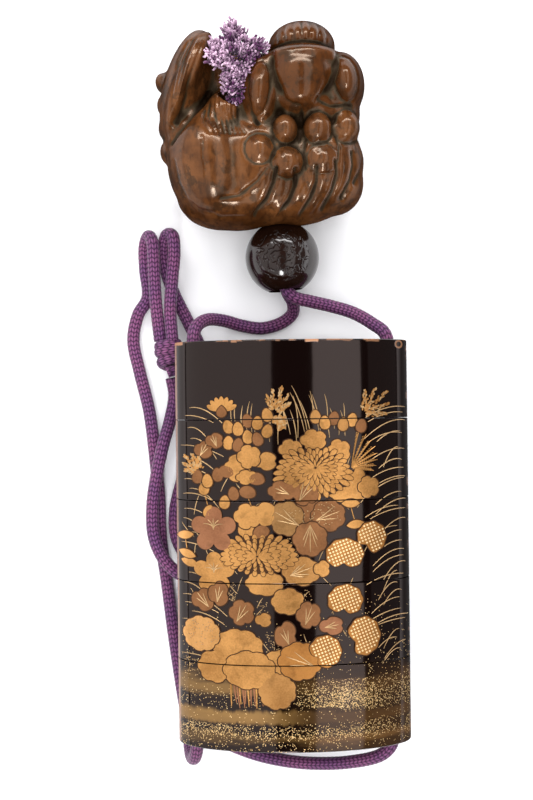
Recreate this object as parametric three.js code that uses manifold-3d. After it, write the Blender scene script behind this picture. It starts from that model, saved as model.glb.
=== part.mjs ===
// A strung inro: a lacquered case of a lid and four trays that nest on risers, a silk cord
// that runs down both sides, a round ojime bead and a carved netsuke, laid on a table.
// Millimetres. +Y runs from the base of the case to the netsuke, +X to the right, +Z up from
// the table. The origin is the bottom centre of the box round case, bead and netsuke.
import * as THREE from "three";
import { mergeVertices } from "three/addons/utils/BufferGeometryUtils.js";
import Module from "manifold-3d";

const wasm = await Module();
wasm.setup();

// Case: a flattened oval in the XZ plane, stretched along Y.
const caseWidth = 52.5;
const caseDepth = 24;
const backFlat = 0.2; // taken off the back, so that the case lies without rolling
const caseCentreX = 1.9;
const caseTopY = 9.25;
const sectionHeights = [17.4, 17.8, 18.0, 17.8, 19.0]; // lid, three trays, base tray
const sectionNames = ["lid", "tray_1", "tray_2", "tray_3", "base_tray"];
const seamGap = 0.3;
const axisZ = caseDepth / 2 - backFlat;

// Inside: each section has a recess below that takes the riser of the next one down.
const recessHalfWidth = 18.9;
const recessHalfDepth = 10.7;
const recessHeight = 5.3;
const riserHeight = 5.0;
const riserGap = 0.3;
const riserWall = 1.1;
const floorThickness = 1.5;
const lidThickness = 2.0;
const baseThickness = 2.2;
const innerPower = 2.5; // squareness of the inner ovals, 2 is an ellipse
const outerPower = 2;
const ovalSides = 40;
const boreSides = 14;

// Cord: silk braid in two strands, through bores in both sides of the case.
const cordDiameter = 3.0;
const cordSides = 8;
const cordBoreRadius = 2.1;
const cordBoreOffset = 22.2;

// Bead and the tunnel that carries both strands through the netsuke.
const beadRadius = 8.5;
const beadCentre = [0.3, 28.6];
const beadTurn = THREE.MathUtils.degToRad(5);
const strandBoreRadius = 3.9;
const beadHeight = 8.5;
const tunnelStart = new THREE.Vector3(-0.5, 36.0, beadHeight);
const tunnelEnd = new THREE.Vector3(-9.0, 60.0, 17.5);

// Netsuke: the box that the carving fills.
const netsukeLow = new THREE.Vector3(-28.15, 34.65, 0);
const netsukeHigh = new THREE.Vector3(18.95, 80.75, 29);

const black = { color: 0x0d0a09, roughness: 0.12, metalness: 0.0 };
const lacquer = (name, solid) => meshOf(name, solid, black);

// ---- solids and meshes -------------------------------------------------------------------

function solidOf(geometry) {
  const plain = geometry.index ? geometry.toNonIndexed() : geometry.clone();
  plain.deleteAttribute("normal");
  plain.deleteAttribute("uv");
  const merged = mergeVertices(plain, 1e-4);
  const mesh = new wasm.Mesh({
    numProp: 3,
    vertProperties: new Float32Array(merged.attributes.position.array),
    triVerts: new Uint32Array(merged.index.array),
  });
  return new wasm.Manifold(mesh);
}

function geometryOf(solid) {
  const mesh = solid.getMesh();
  const geometry = new THREE.BufferGeometry();
  geometry.setAttribute("position", new THREE.BufferAttribute(new Float32Array(mesh.vertProperties), 3));
  geometry.setIndex(new THREE.BufferAttribute(new Uint32Array(mesh.triVerts), 1));
  return geometry;
}

function meshOf(name, solid, look) {
  const geometry = solid.isBufferGeometry ? solid : geometryOf(solid);
  const mesh = new THREE.Mesh(geometry, new THREE.MeshStandardMaterial(look));
  mesh.name = name;
  return mesh;
}

function joined(solids) {
  return solids.reduce((whole, solid) => whole.add(solid));
}

// ---- case --------------------------------------------------------------------------------

function ovalPoints(halfWidth, halfDepth, power, flat = 0) {
  const points = [];
  for (let i = 0; i < ovalSides; i += 1) {
    const angle = (2 * Math.PI * i) / ovalSides;
    const across = Math.cos(angle);
    const deep = Math.sin(angle);
    const x = halfWidth * Math.sign(across) * Math.abs(across) ** (2 / power);
    const y = halfDepth * Math.sign(deep) * Math.abs(deep) ** (2 / power);
    points.push(new THREE.Vector2(x, Math.min(y, halfDepth - flat)));
  }
  return points;
}

function cordBore(side) {
  const hole = new THREE.Path();
  hole.absarc(side * cordBoreOffset, 0, cordBoreRadius, 0, 2 * Math.PI, true);
  return hole;
}

// A prism of the shape from height low to height high above the bottom of the case.
function prism(shape, low, high) {
  const geometry = new THREE.ExtrudeGeometry(shape, {
    depth: high - low,
    bevelEnabled: false,
    curveSegments: boreSides,
  });
  geometry.translate(0, 0, low);
  return solidOf(geometry);
}

const outerShape = new THREE.Shape(ovalPoints(caseWidth / 2, caseDepth / 2, outerPower, backFlat));
outerShape.holes.push(cordBore(-1), cordBore(1));
const recessShape = new THREE.Shape(ovalPoints(recessHalfWidth, recessHalfDepth, innerPower));
const riserShape = new THREE.Shape(
  ovalPoints(recessHalfWidth - riserGap, recessHalfDepth - riserGap, innerPower),
);
const roomShape = new THREE.Shape(
  ovalPoints(
    recessHalfWidth - riserGap - riserWall,
    recessHalfDepth - riserGap - riserWall,
    innerPower,
  ),
);

function section(index, bottom, height) {
  const isLid = index === 0;
  const isBase = index === sectionHeights.length - 1;
  const top = bottom + height - (isLid ? 0 : seamGap);
  const outer = prism(outerShape, bottom, top);
  if (isLid) {
    return outer.subtract(prism(recessShape, bottom - 1, top - lidThickness));
  }
  const floorLow = isBase ? bottom : bottom + recessHeight;
  const floorHigh = floorLow + (isBase ? baseThickness : floorThickness);
  const riserTop = top + riserHeight;
  const withRiser = outer.add(prism(riserShape, floorHigh, riserTop));
  const hollow = withRiser.subtract(prism(roomShape, floorHigh, riserTop + 1));
  return isBase ? hollow : hollow.subtract(prism(recessShape, bottom - 1, floorLow));
}

function buildCase() {
  const caseGroup = new THREE.Group();
  const total = sectionHeights.reduce((sum, height) => sum + height, 0);
  let bottom = total;
  sectionHeights.forEach((height, index) => {
    bottom -= height;
    caseGroup.add(lacquer(sectionNames[index], section(index, bottom, height)));
  });
  caseGroup.rotation.x = -Math.PI / 2;
  caseGroup.position.set(caseCentreX, caseTopY - total, axisZ);
  return caseGroup;
}

// ---- bead --------------------------------------------------------------------------------

// A round bead turned about Y, with the bore through it.
function buildBead() {
  const profile = [];
  const steps = 9;
  const mouthAngle = Math.asin(strandBoreRadius / beadRadius);
  for (let i = 0; i <= steps; i += 1) {
    const angle = mouthAngle + ((Math.PI - 2 * mouthAngle) * i) / steps;
    profile.push(new THREE.Vector2(beadRadius * Math.sin(angle), -beadRadius * Math.cos(angle)));
  }
  profile.push(profile[0].clone());
  const bead = meshOf("ojime_bead", solidOf(new THREE.LatheGeometry(profile, 20)), {
    color: 0x24130d,
    roughness: 0.2,
    metalness: 0.0,
  });
  bead.rotation.z = beadTurn;
  bead.position.set(beadCentre[0], beadCentre[1], beadHeight);
  return bead;
}

// ---- netsuke -----------------------------------------------------------------------------

const largeLobe = [10, 8]; // sides and rings of a lobe's sphere
const smallLobe = [8, 6];

// Each lobe: centre, radii and turn about Z in degrees.
const bodyLobes = [
  { at: [-5.6, 49.5, 13.0], radii: [19.5, 14.5, 13.5], turn: 0 }, // trunk
  { at: [-14.9, 48.6, 13.5], radii: [11.0, 14.5, 13.0], turn: 12 }, // haunch
  { at: [-10.0, 42.4, 12.0], radii: [14.0, 8.5, 11.5], turn: 0 }, // rump
  { at: [9.0, 48.5, 13.0], radii: [10.5, 11.5, 12.5], turn: 0 }, // shoulder
  { at: [5.0, 43.6, 12.0], radii: [12.0, 7.5, 11.0], turn: 12 }, // lower flank
  { at: [-10.5, 66.0, 8.5], radii: [13.0, 9.0, 8.0], turn: 0 }, // floor of the hollow
  { at: [-11.8, 59.0, 13.5], radii: [5.5, 5.5, 10.0], turn: 0 }, // ribs
];
const headLobes = [
  { at: [4.9, 73.6, 15.0], radii: [7.8, 7.2, 9.5], turn: 0 }, // crown
  { at: [4.5, 67.5, 18.5], radii: [10.5, 8.5, 10.0], turn: 0 }, // broad brow plate
  { at: [4.0, 62.0, 17.0], radii: [9.0, 8.0, 10.5], turn: 0 }, // nape
  { at: [-5.4, 65.0, 17.5], radii: [3.9, 8.4, 7.5], turn: -8 }, // left ear
  { at: [14.6, 67.0, 17.5], radii: [4.4, 6.6, 7.0], turn: -15 }, // right ear
  { at: [10.6, 59.5, 14.0], radii: [7.0, 7.0, 9.5], turn: 0 }, // neck
];
const tailLobes = [
  { at: [-20.0, 66.0, 14.0], radii: [4.8, 12.9, 8.5], turn: -15 }, // leaf of the tail
  { at: [-25.9, 67.0, 10.0], radii: [2.6, 2.5, 5.0], turn: 0 },
  { at: [-25.7, 62.6, 10.0], radii: [2.6, 2.4, 5.0], turn: 0 },
  { at: [-25.2, 56.4, 10.0], radii: [2.6, 3.0, 5.0], turn: 0 },
  { at: [-24.4, 51.0, 10.0], radii: [2.6, 3.1, 5.0], turn: 0 },
];
const curlHeight = 23.5;
const curls = [[1.3, 57.0], [8.2, 56.6], [14.0, 57.0], [-4.0, 52.1], [1.8, 49.4], [9.4, 49.9]];
const curlRadii = [2.9, 3.0, 3.6];
const lockStarts = [[-1.0, 43.2], [4.2, 43.2], [9.4, 44.2], [13.8, 46.4]];
const lockRadii = [2.4, 7.0, 4.0];

function lobeSolid(lobe, grow = 0) {
  const [sides, rings] = lobe.radii[1] > 5 ? largeLobe : smallLobe;
  const geometry = new THREE.SphereGeometry(1, sides, rings);
  geometry.scale(lobe.radii[0] + grow, lobe.radii[1] + grow, lobe.radii[2] + grow);
  geometry.rotateZ(THREE.MathUtils.degToRad(lobe.turn));
  geometry.translate(...lobe.at);
  return solidOf(geometry);
}

function allLobes() {
  const curlLobes = curls.map(([x, y]) => ({ at: [x, y, curlHeight], radii: curlRadii, turn: 0 }));
  const lockLobes = lockStarts.map(([x, y], i) => ({
    at: [x, y, 19 - i],
    radii: lockRadii,
    turn: -14 - 4 * i,
  }));
  return [...bodyLobes, ...headLobes, ...tailLobes, ...curlLobes, ...lockLobes];
}

function blockSolid(low, high) {
  const size = high.clone().sub(low);
  const geometry = new THREE.BoxGeometry(size.x, size.y, size.z);
  geometry.translate((low.x + high.x) / 2, (low.y + high.y) / 2, (low.z + high.z) / 2);
  return solidOf(geometry);
}

// Scales and moves a solid so that its box is exactly the one given.
function fitted(solid, low, high) {
  const geometry = geometryOf(solid);
  geometry.computeBoundingBox();
  const { min, max } = geometry.boundingBox;
  const old = max.clone().sub(min);
  const size = high.clone().sub(low);
  geometry.translate(-min.x, -min.y, -min.z);
  geometry.scale(size.x / old.x, size.y / old.y, size.z / old.z);
  geometry.translate(low.x, low.y, low.z);
  return solidOf(geometry);
}

function tunnelSolid() {
  const along = tunnelEnd.clone().sub(tunnelStart);
  const geometry = new THREE.CylinderGeometry(
    strandBoreRadius, strandBoreRadius, along.length() + 6, boreSides,
  );
  const turn = new THREE.Quaternion().setFromUnitVectors(
    new THREE.Vector3(0, 1, 0), along.clone().normalize(),
  );
  geometry.applyQuaternion(turn);
  const middle = tunnelStart.clone().add(tunnelEnd).multiplyScalar(0.5);
  geometry.translate(middle.x, middle.y, middle.z);
  return solidOf(geometry);
}

const tuftLobes = [
  { at: [-10.2, 71.6, 21.0], radii: [5.4, 6.4, 6.5], turn: 0 },
  { at: [-4.6, 74.0, 21.5], radii: [4.2, 3.4, 4.0], turn: 0 },
  { at: [-9.6, 65.5, 20.5], radii: [3.4, 4.0, 4.5], turn: 0 },
];

function buildNetsuke() {
  const carved = joined(allLobes().map((lobe) => lobeSolid(lobe)));
  const ground = blockSolid(new THREE.Vector3(-60, 0, -30), new THREE.Vector3(60, 120, 0.6));
  const standing = fitted(carved.subtract(ground), netsukeLow, netsukeHigh);
  const seat = joined(tuftLobes.map((lobe) => lobeSolid(lobe, 0.5)));
  const holed = standing.subtract(tunnelSolid()).subtract(seat);
  return meshOf("netsuke", holed, { color: 0x6b4020, roughness: 0.35, metalness: 0.0 });
}

// ---- cord --------------------------------------------------------------------------------

const silk = { color: 0x7a4470, roughness: 0.8, metalness: 0.0 };

// A curve with one sample at each route point, so that straight runs cost one step.
class Route extends THREE.CatmullRomCurve3 {
  getUtoTmapping(u) {
    return u;
  }
}

function cordTube(name, route) {
  const curve = new Route(route.map((point) => new THREE.Vector3(...point)), false, "centripetal");
  const ring = new THREE.Shape();
  for (let i = 0; i < cordSides; i += 1) {
    const angle = (2 * Math.PI * i) / cordSides;
    const x = (cordDiameter / 2) * Math.cos(angle);
    const y = (cordDiameter / 2) * Math.sin(angle);
    if (i === 0) ring.moveTo(x, y);
    else ring.lineTo(x, y);
  }
  const geometry = new THREE.ExtrudeGeometry(ring, { steps: route.length - 1, extrudePath: curve });
  return meshOf(name, geometryOf(solidOf(geometry)), silk);
}

// From the tuft through netsuke, bead and right side, across the bottom, up behind the left
// flank and over into the right ear of the bow.
const rightRoute = [
  [-9.0, 60.0, 19.3], [-4.75, 48.0, 14.8], [-0.9, 37.6, 10.7], [0.3, 28.6, 10.3],
  [1.0, 21.6, 10.3], [2.8, 19.5, 10.0], [6.4, 18.6, 8.6], [11.5, 17.5, 7.0],
  [16.5, 15.9, 7.2], [20.6, 13.3, 9.6], [23.3, 10.9, 11.3], [24.1, 7.0, 11.8],
  [24.1, -78.0, 11.8], [23.9, -82.0, 11.7], [21.6, -84.8, 11.0], [14.5, -87.4, 7.8],
  [5.0, -88.6, 4.2], [-3.0, -88.0, 2.3], [-9.5, -86.3, 1.6], [-14.4, -83.8, 1.6],
  [-17.0, -79.6, 1.6], [-17.4, -72.0, 1.6], [-17.4, -2.0, 1.6], [-18.6, 7.0, 1.6],
  [-21.9, 14.6, 1.6], [-24.9, 20.8, 1.6], [-27.0, 27.0, 1.6], [-27.4, 32.2, 1.9],
  [-26.5, 34.9, 3.1], [-25.1, 34.5, 4.7], [-24.7, 30.6, 5.3], [-25.3, 24.0, 5.2],
  [-25.8, 17.0, 5.2], [-25.4, 10.1, 5.2],
];

// From the tuft through netsuke, bead and left side, under the left flank, up beside the
// case and over into the left ear of the bow.
const leftRoute = [
  [-9.0, 60.0, 15.7], [-4.75, 48.0, 11.2], [-0.9, 37.6, 7.2], [0.3, 28.6, 6.7],
  [1.2, 21.4, 6.7], [2.7, 18.6, 4.6], [2.6, 16.2, 2.3], [0.2, 14.2, 1.6],
  [-4.6, 12.9, 1.6], [-9.4, 13.6, 1.7], [-13.6, 14.7, 3.4], [-17.3, 14.7, 6.8],
  [-19.7, 12.6, 10.2], [-20.3, 8.0, 11.8], [-20.3, -78.0, 11.8], [-20.4, -82.4, 11.3],
  [-21.1, -85.6, 9.0], [-22.0, -86.4, 5.8], [-22.6, -84.8, 2.8], [-22.9, -80.6, 1.6],
  [-24.4, -71.0, 1.6], [-26.2, -58.0, 1.6], [-27.5, -47.0, 1.6], [-28.9, -36.0, 1.6],
  [-29.2, -26.0, 1.6], [-30.1, -16.0, 1.6], [-31.3, -6.0, 1.6], [-33.4, 3.0, 1.6],
  [-34.8, 10.5, 1.6], [-33.6, 16.4, 1.6], [-31.3, 20.4, 1.6], [-31.8, 27.0, 1.6],
  [-31.8, 32.6, 1.9], [-30.8, 34.6, 3.3], [-29.8, 33.2, 4.9], [-29.5, 29.0, 5.3],
  [-29.2, 20.0, 4.9], [-28.3, 10.1, 3.7],
];

// The slack loop below the bow: down over the left strand, a turn under the flank, and back.
const bowRoute = [
  [-25.9, 1.5, 1.9], [-25.3, -2.6, 1.6], [-26.4, -8.6, 2.3], [-27.9, -14.2, 4.6],
  [-29.3, -20.6, 5.1], [-30.5, -28.5, 4.7], [-30.2, -35.4, 4.8], [-28.0, -40.6, 4.9],
  [-24.6, -44.0, 4.9], [-21.9, -45.0, 4.1], [-21.2, -43.9, 2.3], [-22.6, -41.4, 1.6],
  [-25.2, -36.0, 1.6], [-25.5, -30.0, 1.6], [-23.4, -21.0, 1.6], [-21.6, -10.0, 1.6],
  [-21.4, 0.0, 1.6], [-22.4, 4.6, 2.8],
];

function buildCords() {
  const knot = { at: [-26.7, 5.8, 3.7], radii: [3.0, 3.7, 3.5], turn: 0 };
  return [
    cordTube("cord_right", rightRoute),
    cordTube("cord_left", leftRoute),
    cordTube("cord_bow_loop", bowRoute),
    meshOf("cord_knot", lobeSolid(knot), silk),
    meshOf("cord_tuft", tuftSolid(), { color: 0x9a6790, roughness: 0.9, metalness: 0.0 }),
  ];
}

// The frayed ends, as one lump that stops just short of the strands.
function tuftSolid() {
  const whole = joined(tuftLobes.map((lobe) => lobeSolid(lobe)));
  const clearance = tunnelSolid();
  return whole.subtract(clearance);
}

const inro = new THREE.Group();
inro.add(buildCase(), buildBead(), buildNetsuke(), ...buildCords());
export default inro;
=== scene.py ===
import math
import random

import bmesh
import bpy
import numpy as np
from mathutils import Matrix, Vector


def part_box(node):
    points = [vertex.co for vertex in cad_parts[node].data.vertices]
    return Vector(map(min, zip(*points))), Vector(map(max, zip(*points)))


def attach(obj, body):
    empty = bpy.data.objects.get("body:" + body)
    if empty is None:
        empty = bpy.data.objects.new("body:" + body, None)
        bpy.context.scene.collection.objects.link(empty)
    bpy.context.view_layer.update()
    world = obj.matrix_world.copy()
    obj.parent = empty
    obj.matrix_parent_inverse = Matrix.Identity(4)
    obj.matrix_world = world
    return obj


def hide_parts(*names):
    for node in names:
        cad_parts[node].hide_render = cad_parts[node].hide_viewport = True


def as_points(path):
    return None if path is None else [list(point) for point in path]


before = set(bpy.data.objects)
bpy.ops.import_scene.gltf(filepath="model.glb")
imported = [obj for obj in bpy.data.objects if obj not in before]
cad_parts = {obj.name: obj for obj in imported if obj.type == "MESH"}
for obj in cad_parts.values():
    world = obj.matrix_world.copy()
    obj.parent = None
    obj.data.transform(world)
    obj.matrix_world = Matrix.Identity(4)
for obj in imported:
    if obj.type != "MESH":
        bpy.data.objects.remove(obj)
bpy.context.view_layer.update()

mm = 0.001
scene = bpy.context.scene


class Wire:
    # A node's output; arithmetic on it adds Math nodes to its finish.
    def __init__(self, finish, socket):
        self.finish = finish
        self.socket = socket

    def math(self, operation, first, second=0.0):
        return self.finish.node("ShaderNodeMath", {"operation": operation}, {0: first, 1: second})

    def __add__(self, other):
        return self.math("ADD", self, other)

    def __sub__(self, other):
        return self.math("SUBTRACT", self, other)

    def __rsub__(self, other):
        return self.math("SUBTRACT", other, self)

    def __mul__(self, other):
        return self.math("MULTIPLY", self, other)

    def __truediv__(self, other):
        return self.math("DIVIDE", self, other)

    def __pow__(self, other):
        return self.math("POWER", self, other)

    def __lt__(self, other):
        return self.math("LESS_THAN", self, other)

    def __gt__(self, other):
        return self.math("GREATER_THAN", self, other)

    def __abs__(self):
        return self.math("ABSOLUTE", self)

    __radd__ = __add__
    __rmul__ = __mul__

    def larger(self, other):
        return self.math("MAXIMUM", self, other)

    def smaller(self, other):
        return self.math("MINIMUM", self, other)

    def sine(self):
        return self.math("SINE", self)

    def part(self):
        return self.math("FRACT", self)

    def floored(self):
        return self.math("FLOOR", self)

    def ramp(self, low, high):
        # 0 below low, 1 above high, smooth between
        values = {"Value": self, "From Min": low, "From Max": high}
        return self.finish.node("ShaderNodeMapRange", {"interpolation_type": "SMOOTHSTEP"}, values)


class Finish:
    # One material, with its Principled shader and the coordinates that its patterns read.
    def __init__(self, name):
        self.material = bpy.data.materials.new(name)
        self.material.use_nodes = True
        self.tree = self.material.node_tree
        self.tree.nodes.clear()
        self.shader = self.tree.nodes.new("ShaderNodeBsdfPrincipled")
        self.output = self.tree.nodes.new("ShaderNodeOutputMaterial")
        self.tree.links.new(self.shader.outputs[0], self.output.inputs["Surface"])

    def node(self, kind, settings=None, values=None, out=0):
        made = self.tree.nodes.new(kind)
        for key, value in (settings or {}).items():
            if key == "stops":
                self.setStops(made.color_ramp, value)
            else:
                setattr(made, key, value)
        for key, value in (values or {}).items():
            if isinstance(value, Wire):
                self.tree.links.new(value.socket, made.inputs[key])
            else:
                made.inputs[key].default_value = value
        return Wire(self, made.outputs[out])

    def setStops(self, ramp, stops):
        while len(ramp.elements) < len(stops):
            ramp.elements.new(0.5)
        for element, (place, colour) in zip(ramp.elements, stops):
            element.position = place
            element.color = (*colour, 1.0)

    def place(self):
        return self.node("ShaderNodeTexCoord", out="Object")

    def axes(self):
        split = self.node("ShaderNodeSeparateXYZ", values={0: self.place()})
        node = split.socket.node
        return [Wire(self, node.outputs[i]) for i in range(3)]

    def uv(self):
        split = self.node("ShaderNodeSeparateXYZ", values={0: self.node("ShaderNodeUVMap")})
        node = split.socket.node
        return [Wire(self, node.outputs[i]) for i in range(2)]

    def noise(self, scale, detail=2.0, rough=0.5, stretch=(1, 1, 1), vector=None):
        vector = vector or self.place()
        if stretch != (1, 1, 1):
            settings = {"operation": "MULTIPLY"}
            vector = self.node("ShaderNodeVectorMath", settings, {0: vector, 1: stretch})
        values = {"Vector": vector, "Scale": scale, "Detail": detail, "Roughness": rough}
        return self.node("ShaderNodeTexNoise", values=values)

    def mix(self, factor, first, second, blend="MIX"):
        settings = {"data_type": "RGBA", "blend_type": blend}
        first = first if isinstance(first, Wire) else (*first, 1.0)
        second = second if isinstance(second, Wire) else (*second, 1.0)
        return self.node("ShaderNodeMix", settings, {0: factor, 6: first, 7: second}, out=2)

    def bump(self, height, distance, strength=1.0, normal=None):
        values = {"Height": height, "Distance": distance, "Strength": strength}
        if normal:
            values["Normal"] = normal
        return self.node("ShaderNodeBump", values=values)

    def surface(self, **values):
        names = {"colour": "Base Color", "rough": "Roughness", "metal": "Metallic",
                 "normal": "Normal", "ior": "IOR", "coat": "Coat Weight",
                 "coatRough": "Coat Roughness", "sheen": "Sheen Weight", "specular": "Specular IOR Level"}
        for key, value in values.items():
            socket = self.shader.inputs[names[key]]
            if isinstance(value, Wire):
                self.tree.links.new(value.socket, socket)
            else:
                socket.default_value = (*value, 1.0) if key == "colour" else value
        return self.material

    def matte(self, factor, colour):
        # Turns the surface matte where the factor is 1.
        dull = self.node("ShaderNodeBsdfPrincipled",
                         values={"Base Color": colour, "Roughness": 0.8, "Specular IOR Level": 0.0})
        both = self.node("ShaderNodeMixShader", values={
            0: factor, 1: Wire(self, self.shader.outputs[0]), 2: dull})
        self.tree.links.new(both.socket, self.output.inputs["Surface"])


def newPiece(name, bm, material=None, smooth=True):
    mesh = bpy.data.meshes.new(name)
    bm.to_mesh(mesh)
    bm.free()
    piece = bpy.data.objects.new(name, mesh)
    scene.collection.objects.link(piece)
    for finish in ([material] if not isinstance(material, list) else material):
        if finish:
            mesh.materials.append(finish)
    if smooth:
        mesh.shade_smooth()
    return piece


def applied(piece):
    # The piece with its modifiers made part of its mesh.
    graph = bpy.context.evaluated_depsgraph_get()
    graph.update()
    mesh = bpy.data.meshes.new_from_object(piece.evaluated_get(graph))
    old = piece.data
    piece.modifiers.clear()
    piece.data = mesh
    bpy.data.meshes.remove(old)
    return piece


def remove(piece):
    bpy.data.objects.remove(piece, do_unlink=True)


def arranged(piece, slotName, *nodes):
    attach(piece, "root")
    if nodes:
        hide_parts(*nodes)
    return piece


def setCamera():
    view = {"across": -3.7, "along": -3.95, "height": 294.0, "roll": -0.69, "lens": 56.0}
    data = bpy.data.cameras.new("camera")
    data.sensor_fit = "VERTICAL"
    data.sensor_height = 36.0
    data.lens = view["lens"]
    data.clip_start = 0.01
    camera = bpy.data.objects.new("camera", data)
    camera.location = (view["across"] * mm, view["along"] * mm, view["height"] * mm)
    camera.rotation_euler = (0, 0, math.radians(view["roll"]))
    scene.collection.objects.link(camera)
    scene.camera = camera
    print("camera set")


setCamera()


cordLook = {"diameter": 3.0, "around": 42, "step": 0.25, "columns": 14, "stitch": 1.05,
            "slant": 0.5, "relief": 0.09}

# Route points in millimetres, as laid.
rightRoute = [
    (-9.0, 60.0, 19.3), (-4.75, 48.0, 14.8), (-0.9, 37.6, 10.7), (0.3, 28.6, 10.3),
    (1.0, 21.6, 10.3), (2.8, 19.5, 10.0), (6.4, 18.6, 8.6), (11.5, 17.5, 7.0),
    (16.5, 15.9, 7.2), (20.6, 13.3, 9.6), (23.3, 10.9, 11.3), (24.1, 7.0, 11.8),
    (24.1, -78.0, 11.8), (23.9, -82.0, 11.7), (21.6, -84.8, 11.0), (14.5, -87.4, 7.8),
    (5.0, -88.6, 4.2), (-3.0, -88.0, 2.3), (-9.5, -86.3, 1.6), (-14.4, -83.8, 1.6),
    (-17.0, -79.6, 1.6), (-17.4, -72.0, 1.6), (-17.4, -2.0, 1.6), (-18.6, 7.0, 1.6),
    (-21.9, 14.6, 1.6), (-24.9, 20.8, 1.6), (-27.0, 27.0, 1.6), (-27.4, 32.2, 1.9),
    (-26.5, 34.9, 3.1), (-25.1, 34.5, 4.7), (-24.7, 30.6, 5.3), (-25.3, 24.0, 5.2),
    (-25.8, 17.0, 5.2), (-25.4, 10.1, 5.2)]
leftRoute = [
    (-9.0, 60.0, 15.7), (-4.75, 48.0, 11.2), (-0.9, 37.6, 7.2), (0.3, 28.6, 6.7),
    (1.2, 21.4, 6.7), (2.7, 18.6, 4.6), (2.6, 16.2, 2.3), (0.2, 14.2, 1.6),
    (-4.6, 12.9, 1.6), (-9.4, 13.6, 1.7), (-13.6, 14.7, 3.4), (-17.3, 14.7, 6.8),
    (-19.7, 12.6, 10.2), (-20.3, 8.0, 11.8), (-20.3, -78.0, 11.8), (-20.4, -82.4, 11.3),
    (-21.1, -85.6, 9.0), (-22.0, -86.4, 5.8), (-22.6, -84.8, 2.8), (-22.9, -80.6, 1.6),
    (-24.4, -71.0, 1.6), (-26.2, -58.0, 1.6), (-27.5, -47.0, 1.6), (-28.9, -36.0, 1.6),
    (-29.2, -26.0, 1.6), (-30.1, -16.0, 1.6), (-31.3, -6.0, 1.6), (-33.4, 3.0, 1.6),
    (-34.8, 10.5, 1.6), (-33.6, 16.4, 1.6), (-31.3, 20.4, 1.6), (-31.8, 27.0, 1.6),
    (-31.8, 32.6, 1.9), (-30.8, 34.6, 3.3), (-29.8, 33.2, 4.9), (-29.5, 29.0, 5.3),
    (-29.2, 20.0, 4.9), (-28.3, 10.1, 3.7)]
bowRoute = [
    (-25.9, 1.5, 1.9), (-25.3, -2.6, 1.6), (-26.4, -8.6, 2.3), (-27.9, -14.2, 4.6),
    (-29.3, -20.6, 5.1), (-30.5, -28.5, 4.7), (-30.2, -35.4, 4.8), (-28.0, -40.6, 4.9),
    (-24.6, -44.0, 4.9), (-21.9, -45.0, 4.1), (-21.2, -43.9, 2.3), (-22.6, -41.4, 1.6),
    (-25.2, -36.0, 1.6), (-25.5, -30.0, 1.6), (-23.4, -21.0, 1.6), (-21.6, -10.0, 1.6),
    (-21.4, 0.0, 1.6), (-22.4, 4.6, 2.8)]


def silkFinish():
    silk = Finish("silk_braid")
    u, v = silk.uv()
    stitch = braidPattern(u, v)
    tint = silk.noise(160, 3.0)
    fibres = silk.noise(9000, 2.0, stretch=(1, 1, 1))
    light = silk.mix(tint.ramp(0.35, 0.65), (0.185, 0.052, 0.140), (0.120, 0.036, 0.125))
    # painted shade: the silk turns dark between the stitches; painted highlight: pale pink on the stitch
    # crests
    paintedGrooveShade = silk.mix(stitch.ramp(0.15, 0.85), (0.022, 0.005, 0.024), light)
    paintedCrestHighlight = silk.mix(stitch.ramp(0.75, 1.0) * 0.3, paintedGrooveShade, (0.36, 0.15, 0.30))
    normal = silk.bump(fibres, 0.00006, 0.35)
    return silk.surface(colour=paintedCrestHighlight, rough=0.6, normal=normal, sheen=0.12, specular=0.25)


def braidPattern(u, v):
    # u goes once round the cord, v along it in stitches; columns slant left and right in turn
    column = u * cordLook["columns"]
    across = column.part()
    odd = (column.floored() * 0.5).part() * 4 - 1
    phase = (v + (across - 0.5) * odd * cordLook["slant"]).part()
    return ((phase * math.pi).sine() ** 0.6) * ((across * math.pi).sine() ** 0.5)


def smoothRoute(points, step):
    # A centripetal curve through the points, cut into even steps, with no twist.
    given = [Vector(p) for p in points]
    first = given[0] * 2 - given[1]
    last = given[-1] * 2 - given[-2]
    held = [first, *given, last]
    fine = []
    for i in range(1, len(held) - 2):
        p0, p1, p2, p3 = held[i - 1:i + 3]
        a, b, c = [max(1e-4, (q - p).length ** 0.5) for p, q in ((p0, p1), (p1, p2), (p2, p3))]
        m1 = (p1 - p0) / a - (p2 - p0) / (a + b) + (p2 - p1) / b
        m2 = (p2 - p1) / b - (p3 - p1) / (b + c) + (p3 - p2) / c
        m1 *= b
        m2 *= b
        count = max(2, int((p2 - p1).length / 0.15))
        for k in range(count):
            t = k / count
            fine.append(p1 * (2 * t**3 - 3 * t**2 + 1) + m1 * (t**3 - 2 * t**2 + t)
                        + p2 * (3 * t**2 - 2 * t**3) + m2 * (t**3 - t**2))
    fine.append(given[-1])
    fine = np.array([tuple(p) for p in fine])
    walked = np.concatenate([[0], np.cumsum(np.linalg.norm(np.diff(fine, axis=0), axis=1))])
    steps = max(4, round(walked[-1] / step))
    even = np.linspace(0, walked[-1], steps + 1)
    return np.stack([np.interp(even, walked, fine[:, k]) for k in range(3)], axis=1), walked[-1]


def framesAlong(points):
    # At each point a pair of directions across the route, carried along without twist.
    tangents = np.gradient(points, axis=0)
    tangents /= np.linalg.norm(tangents, axis=1)[:, None]
    side = np.cross(tangents[0], (0.31, 0.27, 0.91))
    sides = []
    for tangent in tangents:
        side = side - tangent * np.dot(side, tangent)
        side = side / np.linalg.norm(side)
        sides.append(side)
    sides = np.array(sides)
    return sides, np.cross(tangents, sides)


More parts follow.
